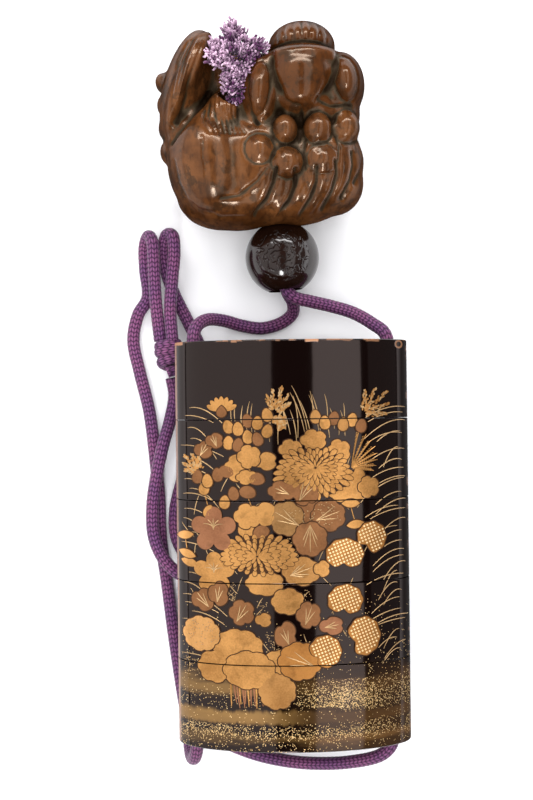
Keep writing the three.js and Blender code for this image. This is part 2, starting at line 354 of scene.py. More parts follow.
def cordMesh(name, route, radius, finish):
    # A grid wrapped round the route, with the braid's stitches raised on it.
    points, length = smoothRoute(route, cordLook["step"])
    sides, ups = framesAlong(points)
    around = cordLook["around"]
    rows = len(points)
    bm = bmesh.new()
    uvLayer = bm.loops.layers.uv.new("UVMap")
    bmesh.ops.create_grid(bm, x_segments=around, y_segments=rows - 1, size=1, calc_uvs=True)
    for face in bm.faces:
        for loop in face.loops:
            u, v = loop[uvLayer].uv
            loop[uvLayer].uv = (u, v * length / cordLook["stitch"])
    for vert in bm.verts:
        turn = (vert.co.x + 1) / 2
        row = round((vert.co.y + 1) / 2 * (rows - 1))
        along = row / (rows - 1) * length / cordLook["stitch"]
        angle = 2 * math.pi * turn
        lift = radius - cordLook["relief"] * (1 - stitchHeight(turn, along))
        spot = points[row] + (sides[row] * math.cos(angle) + ups[row] * math.sin(angle)) * lift
        vert.co = Vector(spot) * mm
    bmesh.ops.remove_doubles(bm, verts=bm.verts, dist=1e-7)
    bmesh.ops.holes_fill(bm, edges=[e for e in bm.edges if e.is_boundary], sides=0)
    bmesh.ops.recalc_face_normals(bm, faces=bm.faces)
    piece = newPiece(name, bm, finish)
    return piece, [tuple(p * mm) for p in points[::4]] + [tuple(points[-1] * mm)], length * mm


def stitchHeight(u, v):
    column = u * cordLook["columns"]
    across = column % 1
    odd = 1 if int(column) % 2 else -1
    phase = (v + (across - 0.5) * odd * cordLook["slant"]) % 1
    return math.sin(math.pi * phase) ** 0.6 * math.sin(math.pi * across) ** 0.5


def knotMesh(finish):
    # The cord's wrap round both strands, and the lump below it.
    look = {"centre": (-26.5, 3.8), "wrapTop": 9.6, "wrapBottom": 6.9, "wrap": 1.95,
            "lump": 1.35, "bottom": 2.7}
    route = []
    for i in range(40):
        t = i / 39
        wrapped = min(1, t / 0.55)
        lump = max(0, (t - 0.55) / 0.45)
        angle = 2 * math.pi * (2.0 * wrapped + 1.4 * lump) - 0.8
        reach = look["wrap"] + (look["lump"] - look["wrap"]) * min(1, lump * 2)
        along = look["wrapTop"] + (look["wrapBottom"] - look["wrapTop"]) * wrapped
        along += (look["bottom"] - look["wrapBottom"]) * lump
        route.append((look["centre"][0] + reach * math.cos(angle), along,
                      look["centre"][1] + reach * math.sin(angle)))
    return cordMesh("silk_knot", route, 1.35, finish)[0]


def tuftFinish():
    silk = Finish("frayed_silk")
    tip = silk.node("ShaderNodeAttribute", {"attribute_name": "tip"}, out=2)
    pale = silk.node("ShaderNodeAttribute", {"attribute_name": "pale"}, out=2)
    low = silk.mix(pale, (0.022, 0.004, 0.024), (0.085, 0.018, 0.080))
    high = silk.mix(pale, (0.11, 0.024, 0.098), (0.86, 0.60, 0.78))
    # painted shade: each thread darkens towards its root inside the tuft
    colour = silk.mix((tip + pale * 0.2).ramp(0.3, 1.05), low, high)
    return silk.surface(colour=colour, rough=0.6, sheen=0.15, specular=0.25)


tuftLook = {"clumps": 150, "threads": 12, "thread": (0.19, 0.36), "reach": (1.4, 3.2), "seed": 11}
# The tuft's rounded masses: centre, half sizes and share of the clumps.
tuftMasses = [((-9.8, 71.5, 21.5), (5.4, 5.6, 4.6), 0.46), ((-5.0, 73.4, 22.0), (2.6, 2.8, 3.4), 0.10),
              ((-10.0, 76.4, 21.5), (2.4, 2.4, 3.2), 0.08), ((-14.4, 72.0, 21.5), (1.8, 3.0, 3.4), 0.12),
              ((-9.6, 64.8, 21.0), (2.7, 4.6, 3.6), 0.24)]


def makeTuft():
    # Short frayed threads in clumps, pale at their tips.
    chance = random.Random(tuftLook["seed"])
    template = bmesh.new()
    bmesh.ops.create_cone(template, cap_ends=True, segments=5, radius1=0.8, radius2=0.8, depth=1)
    bmesh.ops.translate(template, verts=template.verts, vec=(0, 0, 0.5))
    bmesh.ops.bisect_edges(template, edges=[
        e for e in template.edges if abs(e.verts[0].co.z - e.verts[1].co.z) > 0.5],
                           cuts=6, edge_percents={})
    mesh = bpy.data.meshes.new("thread")
    template.to_mesh(mesh)
    template.free()
    bm = bmesh.new()
    tips = []
    pales = []
    spine = Vector((-9.6, 66.0, 17.5))
    for centre, sizes, share in tuftMasses:
        for _ in range(round(tuftLook["clumps"] * share)):
            away = Vector([chance.gauss(0, 1) for _ in range(3)]).normalized()
            away.z = abs(away.z) * 0.9 + 0.1
            reach = chance.uniform(0.35, 1.0) ** 0.5
            foot = Vector(centre) + Vector([away[k] * sizes[k] * reach for k in range(3)])
            lean = (foot - spine).normalized() * 0.55 + away * 0.6 + Vector([
                chance.gauss(0, 0.3) for _ in range(3)])
            bright = chance.gauss(0.40, 0.26) - (foot.x + 9.8) * 0.06 - max(0, 69 - foot.y) * 0.05
            for _ in range(tuftLook["threads"]):
                start = foot + Vector([chance.gauss(0, 0.35) for _ in range(3)]) - lean * 1.4
                aim = (lean + Vector([chance.gauss(0, 0.34) for _ in range(3)])).normalized()
                length = chance.uniform(*tuftLook["reach"]) * 0.8
                end = start + aim * length
                bend = start.lerp(end, 0.55) + Vector([chance.gauss(0, 0.45) for _ in range(3)])
                radius = chance.uniform(*tuftLook["thread"])
                tone = min(1, max(0, bright + chance.gauss(0, 0.22)))
                side = aim.cross(Vector((0.3, 0.5, 0.8))).normalized()
                other = aim.cross(side)
                first = len(bm.verts)
                bm.from_mesh(mesh)
                bm.verts.ensure_lookup_table()
                for vert in bm.verts[first:]:
                    s = vert.co.z
                    spot = start * (1 - s) ** 2 + bend * 2 * s * (1 - s) + end * s * s
                    vert.co = spot + side * (vert.co.x * radius) + other * (vert.co.y * radius)
                    tips.append(s)
                    pales.append(tone)
    bmesh.ops.scale(bm, verts=bm.verts, vec=(mm, mm, mm))
    piece = newPiece("frayed_tuft", bm, tuftFinish())
    for name, values in (("tip", tips), ("pale", pales)):
        note = piece.data.attributes.new(name, "FLOAT", "POINT")
        note.data.foreach_set("value", values)
    return piece


def makeCords():
    finish = silkFinish()
    radius = cordLook["diameter"] / 2
    knot = arranged(knotMesh(finish), "silk", "cord_knot")
    tuft = arranged(makeTuft(), "silk", "cord_tuft")
    for name, route, tail in (("silk_cord_right", rightRoute, knot), ("silk_cord_left", leftRoute, tuft),
                              ("silk_cord_bow_loop", bowRoute, None)):
        piece, path, length = cordMesh(name, route, radius, finish)
        arranged(piece, "silk", name.replace("silk_", ""))
        tuple(c * mm for c in route[0])
        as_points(path)
        print(name, round(length, 4), "m")
    print("cords laid")


makeCords()


caseLook = {"round": 0.35, "edge": 0.14, "sides": 192, "seam": 0.16, "riserHeight": 5.0,
            "recessHeight": 5.3, "recess": (18.9, 10.7), "riserGap": 0.3, "riserWall": 1.1,
            "floor": 1.5, "lidTop": 2.0, "baseFloor": 2.2, "innerPower": 2.5, "bore": 2.1,
            "boreOffset": 22.2}
# Chips on the lid's rim: place across, half width, depth, strength.
wornRim = [(-12.6, 0.7, 0.45, 0.6), (-25.2, 1.1, 0.6, 0.8), (12.0, 1.0, 0.35, 0.35), (17.8, 1.6, 0.45, 0.45),
           (-3.0, 0.5, 0.25, 0.4), (9.0, 0.4, 0.3, 0.4)]
sectionNodes = ["lid", "tray_1", "tray_2", "tray_3", "base_tray"]


def caseFrame():
    low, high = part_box("lid")
    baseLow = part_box("base_tray")[0]
    return {"centreX": (low[0] + high[0]) / 2 / mm, "halfWidth": (high[0] - low[0]) / 2 / mm,
            "top": high[1] / mm, "bottom": baseLow[1] / mm, "halfDepth": 12.0,
            "axis": high[2] / mm - 12.0}


case = caseFrame()


def lathedSection(name, profile):
    # One oval ring for each step of the profile, joined in turn and capped at both ends.
    bm = bmesh.new()
    bmesh.ops.create_circle(bm, cap_ends=False, segments=caseLook["sides"], radius=1)
    edges = bm.edges[:]
    for _ in profile[1:]:
        made = bmesh.ops.extrude_edge_only(bm, edges=edges)["geom"]
        edges = [part for part in made if isinstance(part, bmesh.types.BMEdge) and part.is_boundary]
        for vert in {vert for edge in edges for vert in edge.verts}:
            vert.co.z += 1
    for vert in bm.verts:
        halfWidth, halfDepth, power, along, shrink = (*profile[round(vert.co.z)], 0.0)[:5]
        x = (halfWidth - shrink) * math.copysign(abs(vert.co.x) ** (2 / power), vert.co.x)
        z = (halfDepth - shrink) * math.copysign(abs(vert.co.y) ** (2 / power), vert.co.y)
        z = max(z, shrink - case["axis"])  # the back is flat where the case lies
        vert.co = Vector((case["centreX"] + x, along, case["axis"] + z)) * mm
    bmesh.ops.holes_fill(bm, edges=[edge for edge in bm.edges if edge.is_boundary], sides=0)
    bmesh.ops.recalc_face_normals(bm, faces=bm.faces)
    return newPiece(name, bm, smooth=False)


def roundedSide(low, high, shrinkLow, shrinkHigh):
    # The outer wall between two heights, with its edges rounded by the two radii.
    wide, deep = case["halfWidth"], case["halfDepth"]
    steps = [(wide, deep, 2.0, low + shrinkLow * (1 - math.cos(math.pi / 2 * k / 4)),
              shrinkLow * (1 - math.sin(math.pi / 2 * k / 4))) for k in range(5)]
    steps += [(wide, deep, 2.0, high - shrinkHigh * (1 - math.sin(math.pi / 2 * k / 4)),
               shrinkHigh * (1 - math.cos(math.pi / 2 * k / 4))) for k in range(5)]
    return steps


def cutBores(piece, low, high):
    for side in (-1, 1):
        bm = bmesh.new()
        bmesh.ops.create_cone(bm, cap_ends=True, segments=32, radius1=caseLook["bore"],
                              radius2=caseLook["bore"], depth=high - low + 4)
        bmesh.ops.rotate(bm, verts=bm.verts, matrix=Matrix.Rotation(math.pi / 2, 3, "X"))
        spot = Vector((case["centreX"] + side * caseLook["boreOffset"], (low + high) / 2, case["axis"]))
        bmesh.ops.translate(bm, verts=bm.verts, vec=spot)
        bmesh.ops.scale(bm, verts=bm.verts, vec=(mm, mm, mm))
        drill = newPiece("drill", bm)
        cut = piece.modifiers.new("bore", "BOOLEAN")
        cut.operation = "DIFFERENCE"
        cut.solver = "EXACT"
        cut.object = drill
        applied(piece)
        remove(drill)


def wearPatch(across, down, noise, centre, half, depth):
    # 1 where a chip shows at the lid's rim: so far from the middle, so wide and so deep.
    side = 1 - (abs(across - centre) + noise * 0.8).ramp(half * 0.8, half * 1.1)
    return side * (1 - (down + noise * 0.5).ramp(depth, depth + 0.25))


def lacquerFinish():
    lacquer = Finish("black_lacquer")
    x, y, z = lacquer.axes()
    down = (case["top"] * mm - y) * (1 / mm)
    across = (x * (1 / mm)) - case["centreX"]
    front = (z * (1 / mm)).ramp(case["axis"] - 4, case["axis"] + 1)
    left = 1 - across.ramp(-9, 4)
    right = across.ramp(-3, 9)
    # gold powder: specks, thick in drifts near the base
    cells = lacquer.node("ShaderNodeTexVoronoi", {"feature": "F1"},
                         {"Vector": lacquer.place(), "Scale": 5400.0, "Randomness": 1.0})
    tone = Wire(lacquer, cells.socket.node.outputs["Color"])
    split = lacquer.node("ShaderNodeSeparateColor", values={0: tone})
    chance = split
    shade = Wire(lacquer, split.socket.node.outputs[1])
    cloud = lacquer.noise(110, 4.0, 0.6, stretch=(0.5, 2.4, 1))
    drift = down + (cloud - 0.5) * 6
    upper = (drift.ramp(72.5, 78) * (1 - drift.ramp(79.8, 81.2)) * (right * 0.45 + 0.05)
             * (1 - across.ramp(13, 24) * 0.7))
    lower = (drift.ramp(83.4, 85.0) * (1 - drift.ramp(86.4, 88.2) * 0.8)
             * (1 - across.ramp(12, 24) * 0.6) * 0.32)
    sparse = down.ramp(56, 74) * 0.03
    density = upper.larger(lower).larger(sparse) * front * (0.35 + cloud * 1.3)
    speck = (chance < density) * (cells < 0.6)
    # brown and golden mist under the powder
    streak = lacquer.noise(700, 2.0, 0.5, stretch=(1.6, 0.25, 1))
    haze = drift.ramp(72.8, 75.0) * (1 - drift.ramp(76.4, 78.4)) * (1 - across.ramp(-17, -2) * 0.75) * 0.42
    ragged = down + (streak - 0.5) * 1.6 + (cloud - 0.5) * 1.2
    band = (ragged.ramp(80.4, 81.7) * (1 - ragged.ramp(83.1, 84.3)) * (0.15 + left * 0.55)
            * (0.45 + cloud * 0.7))
    glow = drift.ramp(85.6, 87) * (1 - drift.ramp(87.6, 89.2)) * 0.17 + right * drift.ramp(70, 77) * 0.07
    mist = haze.larger(band).larger(glow * (0.4 + cloud)) * front
    tinge = lacquer.mix(right, (0.36, 0.195, 0.055), (0.40, 0.19, 0.055))
    base = lacquer.mix(mist, (0.0028, 0.0009, 0.0006), tinge)
    gold = lacquer.mix(shade, (0.50, 0.29, 0.10), (0.95, 0.68, 0.32))
    colour = lacquer.mix(speck, base, gold)
    # brown along the flanks, most of it on the left, chips on the rim of the lid and rubbed seams
    worn = lacquer.noise(380, 4.0, 0.65)
    flank = abs(across).ramp(case["halfWidth"] - 0.75, case["halfWidth"] - 0.3)
    flank = flank * z.ramp((case["axis"] + 0.4) * mm, (case["axis"] + 1.2) * mm)
    # a pinkish brown strip high on both flanks, stronger on the left, which also makes the lacquer rougher
    # there
    flankBrown = (flank * (1 - across.ramp(-5, 5)) * (0.55 + worn * 0.6)).larger(
        flank * worn.ramp(0.54, 0.62) * 0.4)
    ratio = across * (1 / case["halfWidth"])
    outline = (1 - (ratio * ratio).smaller(0.9999)) ** 0.5 * case["halfDepth"] + case["axis"]
    atRim = 1 - (outline - z * (1 / mm)).ramp(0.9, 1.6)
    chips = wearPatch(across, down, worn - 0.5, 4.4, 1.5, 0.5) * 0.95
    for centre, half, depth, strength in wornRim:
        chips = chips.larger(wearPatch(across, down, worn - 0.5, centre, half, depth) * strength)
    ringAway = ((across - 24.0) ** 2.0 + (down - 1.1) ** 2.0) ** 0.5
    chips = chips.larger((1 - abs(ringAway - 0.75).ramp(0.1, 0.28)) * 0.5 * front)
    rim = (1 - down.ramp(0.15, 0.4)) * worn.ramp(0.52, 0.6) * 0.7 * atRim
    chips = chips * atRim
    colour = lacquer.mix(flankBrown, colour, (0.38, 0.23, 0.175))
    colour = lacquer.mix(chips.larger(rim), colour, (0.42, 0.20, 0.10))
    dull = flankBrown.larger(chips).larger(rim)
    turning = abs(across).ramp(case["halfWidth"] - 3.2, case["halfWidth"] - 1.6)
    lacquer.matte(turning * (0.45 + right * 0.45), colour)
    rough = 0.07 + speck * 0.3 + mist * 0.25 + dull * 0.35
    normal = lacquer.bump(lacquer.noise(230, 2.0), 0.00003, 0.2)
    normal = lacquer.bump(speck, 0.00003, 0.5, normal)
    normal = lacquer.bump(chips.larger(rim), -0.00012, 0.6, normal)
    lacquer.shader.inputs["Specular Tint"].default_value = (1.0, 0.8, 0.75, 1.0)
    return lacquer.surface(colour=colour, rough=rough, metal=speck * 0.6, normal=normal)


def makeSection(index, finish):
    node = sectionNodes[index]
    low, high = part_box(node)
    bottom = low[1] / mm
    isLid = index == 0
    isBase = index == len(sectionNodes) - 1
    top = high[1] / mm - (0 if isLid else caseLook["riserHeight"])
    seam = caseLook["seam"]
    if not isLid:
        top += 0.3 - seam  # the seam is drawn finer than the gap between the solids
    inner = caseLook["innerPower"]
    recess = caseLook["recess"]
    gap, wall = caseLook["riserGap"], caseLook["riserWall"]
    riser = (recess[0] - gap, recess[1] - gap)
    room = (riser[0] - wall, riser[1] - wall)
    side = roundedSide(bottom, top, caseLook["round"] if isBase else caseLook["edge"],
                       caseLook["round"] if isLid else caseLook["edge"])
    profile = []
    if isLid:
        profile += [(*recess, inner, top - caseLook["lidTop"]), (*recess, inner, bottom)]
    elif not isBase:
        profile += [(*recess, inner, bottom + caseLook["recessHeight"]), (*recess, inner, bottom)]
    profile += side
    if not isLid:
        riserTop = high[1] / mm
        floor = caseLook["baseFloor"] if isBase else caseLook["recessHeight"] + caseLook["floor"]
        profile += [(*riser, inner, top), (*riser, inner, riserTop - 0.2),
                    (*riser, inner, riserTop, 0.2), (*room, inner, riserTop), (*room, inner, bottom + floor)]
    piece = lathedSection(node + "_lacquer", profile)
    cutBores(piece, bottom, top)
    piece.data.materials.clear()
    piece.data.materials.append(finish)
    piece.data.shade_smooth()
    piece.data.set_sharp_from_angle(angle=math.radians(35))
    return arranged(piece, "lacquer", node)


def makeCase():
    finish = lacquerFinish()
    sections = [makeSection(i, finish) for i in range(len(sectionNodes))]
    print("case made")
    return sections


sections = makeCase()


# The picture is laid out in millimetres: across from the middle of the case, down from its top.
pictureLook = {"layer": 0.06, "base": 0.05, "halo": 0.24, "sunk": -0.12, "seamGap": 0.13}
toneNames = ["gold", "ochre", "amber", "brown", "rose", "olive", "dotgold", "pale", "outline", "bright"]

# Where the figures of the picture lie: millimetres from the middle and down from the top.
pictureAreas = {
    # tone, layer, place, half sizes, turn, lobes, veins
    "leaves": [
        ("gold", 2, (-12, 28), (3, 3), 90, 5, 0), ("gold", 4, (-9.5, 25.5), (2.6, 2.6), 20, 5, 0),
        ("gold", 3, (-6, 26.5), (2.6, 2), 0, 3, 0), ("gold", 3, (-10, 30), (2.4, 1.6), 180, 5, 0),
        ("brown", 3, (-19.5, 24), (2.1, 1.9), 60, 3, 3), ("brown", 4, (-17, 22), (2, 1.7), 110, 3, 3),
        ("gold", 2, (-0.5, 24), (2.6, 2.2), 0, 5, 0), ("gold", 2, (4.5, 22), (2.9, 2.3), 0, 5, 0),
        ("gold", 2, (10, 24.5), (2.6, 2.6), 0, 5, 0), ("gold", 1, (12, 34), (4.2, 1.8), 0, 7, 0),
        ("gold", 1, (14, 31), (2, 2.8), 0, 3, 0), ("gold", 2, (16.5, 32.5), (2.4, 2.4), 0, 5, 0),
        ("brown", 4, (-2.5, 33), (3, 2.2), 155, 5, 3), ("brown", 4, (2.5, 33), (3.2, 3.2), 60, 5, 3),
        ("gold", 3, (-10, 38.5), (3, 2.8), 90, 5, 0), ("gold", 3, (-6.5, 38), (3, 2.6), 60, 3, 0),
        ("gold", 1, (-9.5, 41.5), (2.6, 2.6), 180, 5, 0), ("olive", 3, (-1.5, 39), (3.8, 3.8), 150, 7, 3),
        ("brown", 2, (3, 37.5), (3.2, 3.2), 90, 5, 0), ("brown", 3, (7.5, 38.5), (3.8, 3.5), 20, 7, 3),
        ("brown", 5, (3.5, 43.5), (3.8, 3.8), 270, 7, 5), ("ochre", 2, (1.5, 50.5), (4.2, 3.2), 20, 7, 5),
        ("gold", 1, (-6.5, 53), (4.2, 2.8), 0, 7, 0), ("gold", 2, (-1.5, 57), (3.6, 2.9), 200, 7, 0),
        ("gold", 3, (6, 50), (1.8, 1.8), 0, 3, 0), ("brown", 3, (-20, 57), (2.6, 2.5), 130, 3, 3),
        ("brown", 4, (-16.5, 55.5), (2.3, 2.7), 80, 3, 3), ("brown", 3, (-11.5, 59.5), (2.8, 2.8), 60, 5, 3),
        ("gold", 2, (-6.8, 61), (1.8, 1.5), 20, 3, 0), ("brown", 3, (-2, 64.5), (2.4, 3.2), 110, 3, 3),
        ("brown", 4, (3, 60), (2.7, 2.9), 70, 5, 3), ("rose", 3, (8, 62.5), (2.7, 2), 10, 3, 3),
        ("dotgold", 3, (-20.5, 64.5), (4.2, 3.9), 0, 9, 0), ("gold", 2, (-12.5, 67), (5.6, 3.9), 0, 9, 0),
        ("gold", 2, (-17.5, 71.5), (3.9, 3.6), 0, 7, 0), ("gold", 3, (-10, 72), (5.8, 4.2), 0, 9, 0),
        ("gold", 2, (-3.5, 70.5), (3.6, 3), 0, 7, 0), ("amber", 4, (1, 70), (4.8, 4.2), 160, 9, 3),
        ("ochre", 3, (-4, 76.5), (4.1, 4), 0, 9, 0)],
    # place, half sizes, where the notch points
    "dotted": [((17, 43.5), (3.2, 3.4), 235), ((11, 47), (4.1, 3.4), 265), ((11, 57), (3.8, 3.4), 260),
               ((15, 65), (3.6, 4.2), 205), ((6.5, 68), (3.5, 3.5), 215)],
    # centre, reach, tone, layer
    "bells": [((-17.5, 41.5), 4.6, "rose", 3), ((-17.5, 51), 4.2, "gold", 2)],
    # foot, middle angle, reach
    "sprays": [((-20.5, 28.8), 135, 5), ((-4, 16), 72, 6), ((-4, 19), 40, 3.2), ((15.5, 16.5), 42, 7.5)],
    # first bud, last bud, number, outline, tones
    "buds": [((-14, 19.5), (-5.5, 17), 5, "bud", ("gold", "gold", "brown")),
             ((-14, 23), (-5.5, 20.5), 5, "bud", ("gold", "brown")),
             ((5, 17.5), (15, 18.5), 6, "bud", ("ochre", "gold", "brown")),
             ((-21, 30.5), (-16.5, 30), 3, "bud", ("brown", "gold")),
             ((-19.5, 33), (-18.5, 37), 2, "bud", ("gold",)),
             ((-15, 36), (-13, 33), 2, "bud", ("gold", "brown")),
             ((-14.5, 29.5), (-8, 30), 2, "half", ("brown",)),
             ((-10, 34), (-7, 41.5), 2, "half", ("brown",)),
             ((-24, 43.5), (-23, 49.5), 3, "leaf", ("gold",)),
             ((12.5, 36.5), (13.5, 40), 2, "leaf", ("gold",))],
    # netted gaps filled with fine dots: middle, reach, number
    "netting": [((-14, 55), (1.2, 2), 60), ((-22, 72), (2.5, 2), 90), ((-5, 66), (1.4, 2.4), 50),
                ((0, 45.5), (1.5, 2.6), 40), ((9, 64.5), (1.4, 1.6), 24), ((17, 60.5), (3, 5.5), 46),
                ((-7, 58.5), (1.3, 1.7), 26), ((2.5, 56), (1.3, 1.7), 20)]}


def ringTemplate(name, segments, rings):
    # A closed disc: a fan in the middle, rings round it, and a bottom. Z holds the ring's number.
    bm = bmesh.new()
    bmesh.ops.create_circle(bm, cap_ends=True, cap_tris=True, segments=segments, radius=1)
    edges = [edge for edge in bm.edges if edge.is_boundary]
    for _ in range(rings):
        made = bmesh.ops.extrude_edge_only(bm, edges=edges)["geom"]
        edges = [part for part in made if isinstance(part, bmesh.types.BMEdge) and part.is_boundary]
        for vert in {vert for edge in edges for vert in edge.verts}:
            vert.co.z += 1
    bmesh.ops.holes_fill(bm, edges=edges, sides=0)
    bmesh.ops.recalc_face_normals(bm, faces=bm.faces)
    mesh = bpy.data.meshes.new(name)
    bm.to_mesh(mesh)
    bm.free()
    return mesh


def tubeTemplate(name, sides, steps):
    # A closed strip: z runs from 0 to steps.
    bm = bmesh.new()
    bmesh.ops.create_circle(bm, cap_ends=False, segments=sides, radius=1)
    edges = bm.edges[:]
    for _ in range(steps):
        made = bmesh.ops.extrude_edge_only(bm, edges=edges)["geom"]
        edges = [part for part in made if isinstance(part, bmesh.types.BMEdge) and part.is_boundary]
        for vert in {vert for edge in edges for vert in edge.verts}:
            vert.co.z += 1
    bmesh.ops.holes_fill(bm, edges=[edge for edge in bm.edges if edge.is_boundary], sides=0)
    bmesh.ops.recalc_face_normals(bm, faces=bm.faces)
    mesh = bpy.data.meshes.new(name)
    bm.to_mesh(mesh)
    bm.free()
    return mesh


def outlinePoint(shape, c, s):
    # Where the outline of a shape lies in the direction (c, s), within a unit square.
    angle = math.atan2(s, c)
    if shape == "leaf":
        return c, s * abs(s) ** 0.7
    if shape == "petal":
        return c, s * abs(s) ** 0.35 * (0.8 + 0.3 * c)
    if shape == "petal5":
        return c * (1 + 0.06 * math.cos(angle)), s * (0.72 + 0.28 * c) * 1.15
    if shape == "bud":
        return c, s * (1 - 0.18 * c)
    if shape == "half":
        return c, s * 1.05 if s > 0 else s * 0.72
    if shape.startswith("lobes"):
        count = int(shape[5:])
        depth = {3: 0.22, 5: 0.17, 7: 0.12, 9: 0.09}[count]
        reach = 1 - depth * (1 - abs(math.sin(count * angle / 2))) ** 2 * 1.3
        return c * reach, s * reach
    if shape.startswith("kidney"):
        notch = math.radians(float(shape[6:]))
        away = (angle - notch + math.pi) % (2 * math.pi) - math.pi
        reach = 1 - 0.42 * math.exp(-(away / 0.42) ** 2) + 0.03 * math.cos(9 * angle)
        return c * reach, s * reach
    return c, s


def onCase(across, down, height):
    half = case["halfWidth"]
    ratio = max(-0.9995, min(0.9995, across / half))
    z = 12.0 * math.sqrt(1 - ratio * ratio)
    out = Vector((across / half**2, 0, z / 144.0)).normalized() * height
    return Vector((case["centreX"] + across + out.x, case["top"] - down, case["axis"] + z + out.z)) * mm


class Picture:
    def __init__(self):
        self.bm = bmesh.new()
        self.small = ringTemplate("small_disc", 14, 2)
        self.wide = ringTemplate("wide_disc", 42, 6)
        self.dot = ringTemplate("dot_disc", 6, 1)
        self.strip = tubeTemplate("strip_tube", 4, 12)

    def stamp(self, template, tone, where):
        # A copy of the template with every vertex moved by the rule given.
        startVert, startFace = len(self.bm.verts), len(self.bm.faces)
        self.bm.from_mesh(template)
        self.bm.verts.ensure_lookup_table()
        self.bm.faces.ensure_lookup_table()
        for vert in self.bm.verts[startVert:]:
            vert.co = where(vert.co)
        index = toneNames.index(tone)
        for face in self.bm.faces[startFace:]:
            face.material_index = index

    def heightOf(self, layer):
        return pictureLook["base"] + pictureLook["layer"] * layer

    def flat(self, shape, tone, layer, place, size, turn=0, halo=pictureLook["halo"]):
        wide = max(size) > 1.7
        template = self.wide if wide else self.small
        rings = 6 if wide else 2
        spread = [0.16, 0.34, 0.52, 0.7, 0.86, 1.0, 1.0] if wide else [0.62, 1.0, 1.0]
        cosine, sine = math.cos(math.radians(turn)), math.sin(math.radians(turn))

        def mover(grow, drop):
            def where(co):
                ring = round(co.z)
                if co.x == 0 and co.y == 0:
                    x = y = 0.0
                else:
                    reach = math.hypot(co.x, co.y)
                    x, y = outlinePoint(shape, co.x / reach, co.y / reach)
                    x, y = x * (size[0] + grow) * spread[ring], y * (size[1] + grow) * spread[ring]
                if ring == rings:
                    height = pictureLook["sunk"]
                else:
                    height = self.heightOf(layer) - drop - (0.02 if ring == rings - 1 else 0)
                across = x * cosine - y * sine
                up = x * sine + y * cosine
                return onCase(place[0] + across, place[1] - up, height)
            return where
        self.stamp(template, tone, mover(0.0, 0.0))
        if halo:
            self.stamp(template, "outline", mover(halo, 0.035))

    def line(self, width, start, bend, end, tone="pale", layer=0.0, taper=True):
        def where(co):
            t = co.z / 12
            x = (1 - t) ** 2 * start[0] + 2 * t * (1 - t) * bend[0] + t * t * end[0]
            y = (1 - t) ** 2 * start[1] + 2 * t * (1 - t) * bend[1] + t * t * end[1]
            dx = (1 - t) * (bend[0] - start[0]) + t * (end[0] - bend[0])
            dy = (1 - t) * (bend[1] - start[1]) + t * (end[1] - bend[1])
            norm = math.hypot(dx, dy) or 1.0
            half = width / 2 * (math.sin(math.pi * min(0.97, max(0.12, t))) ** 0.4 if taper else 1.0)
            return onCase(x - dy / norm * co.x * half, y + dx / norm * co.x * half,
                          self.heightOf(layer) + co.y * 0.05)
        self.stamp(self.strip, tone, where)

    def speck(self, place, size, tone, layer, turn=0.0):
        cosine, sine = math.cos(turn), math.sin(turn)

        def where(co):
            ring = round(co.z)
            scale = 1.0 if ring == 1 else 0.7
            x, y = co.x * size[0] * scale, co.y * size[1] * scale
            height = pictureLook["sunk"] if ring == 1 else self.heightOf(layer)
            return onCase(place[0] + x * cosine - y * sine, place[1] - x * sine - y * cosine, height)
        self.stamp(self.dot, tone, where)


def drawChrysanthemum(picture, heart, low, high, counts, layer):
    # Rows of narrow petals from the heart out to an oval rim.
    middle = ((low[0] + high[0]) / 2, (low[1] + high[1]) / 2)
    reachX, reachY = (high[0] - low[0]) / 2, (high[1] - low[1]) / 2
    picture.flat("round", "outline", layer - 0.5, middle, (reachX * 0.92, reachY * 0.92), halo=0)
    for row, count in enumerate(counts):
        inner, outer, turn = max(0.03, 0.65 - 0.215 * row), 1 - 0.2 * row, 0.5 * (row % 2)
        for k in range(count):
            angle = 2 * math.pi * (k + turn) / count
            wobble = 1 + 0.05 * math.sin(5 * angle + row * 2)
            rim = (middle[0] + reachX * wobble * math.cos(angle),
                   middle[1] + reachY * wobble * math.sin(angle))
            start = (heart[0] + (rim[0] - heart[0]) * inner, heart[1] + (rim[1] - heart[1]) * inner)
            end = (heart[0] + (rim[0] - heart[0]) * outer, heart[1] + (rim[1] - heart[1]) * outer)
            length = math.hypot(end[0] - start[0], end[1] - start[1]) / 2
            near = math.hypot((start[0] + end[0]) / 2 - heart[0], ((start[1] + end[1]) / 2 - heart[1]) * 1.5)
            wide = min(0.66, math.pi * near / count * 0.92)
            turnTo = math.degrees(math.atan2(-(end[1] - start[1]), end[0] - start[0]))
            place = ((start[0] + end[0]) / 2, (start[1] + end[1]) / 2)
            picture.flat("petal", "gold", layer + row * 0.9, place, (length, wide), turnTo, halo=0.15)


def drawDisc(picture, place, size, notch, layer=5):
    # A kidney-shaped leaf covered with rows of dots.
    shape = "kidney%g" % notch
    picture.flat(shape, "amber", layer, place, size)
    pitch = 0.72
    turn = 0.35
    for i in range(-9, 10):
        for j in range(-9, 10):
            x = (i * math.cos(turn) - j * math.sin(turn)) * pitch
            y = (i * math.sin(turn) + j * math.cos(turn)) * pitch
            reach = math.hypot(x / size[0], y / size[1])
            if reach > 0:
                edge = math.hypot(*outlinePoint(shape, x / size[0] / reach, y / size[1] / reach))
                if reach > edge - 0.07:
                    continue
            picture.speck((place[0] + x, place[1] - y), (0.32, 0.32), "bright", layer + 0.7, turn + 0.52)


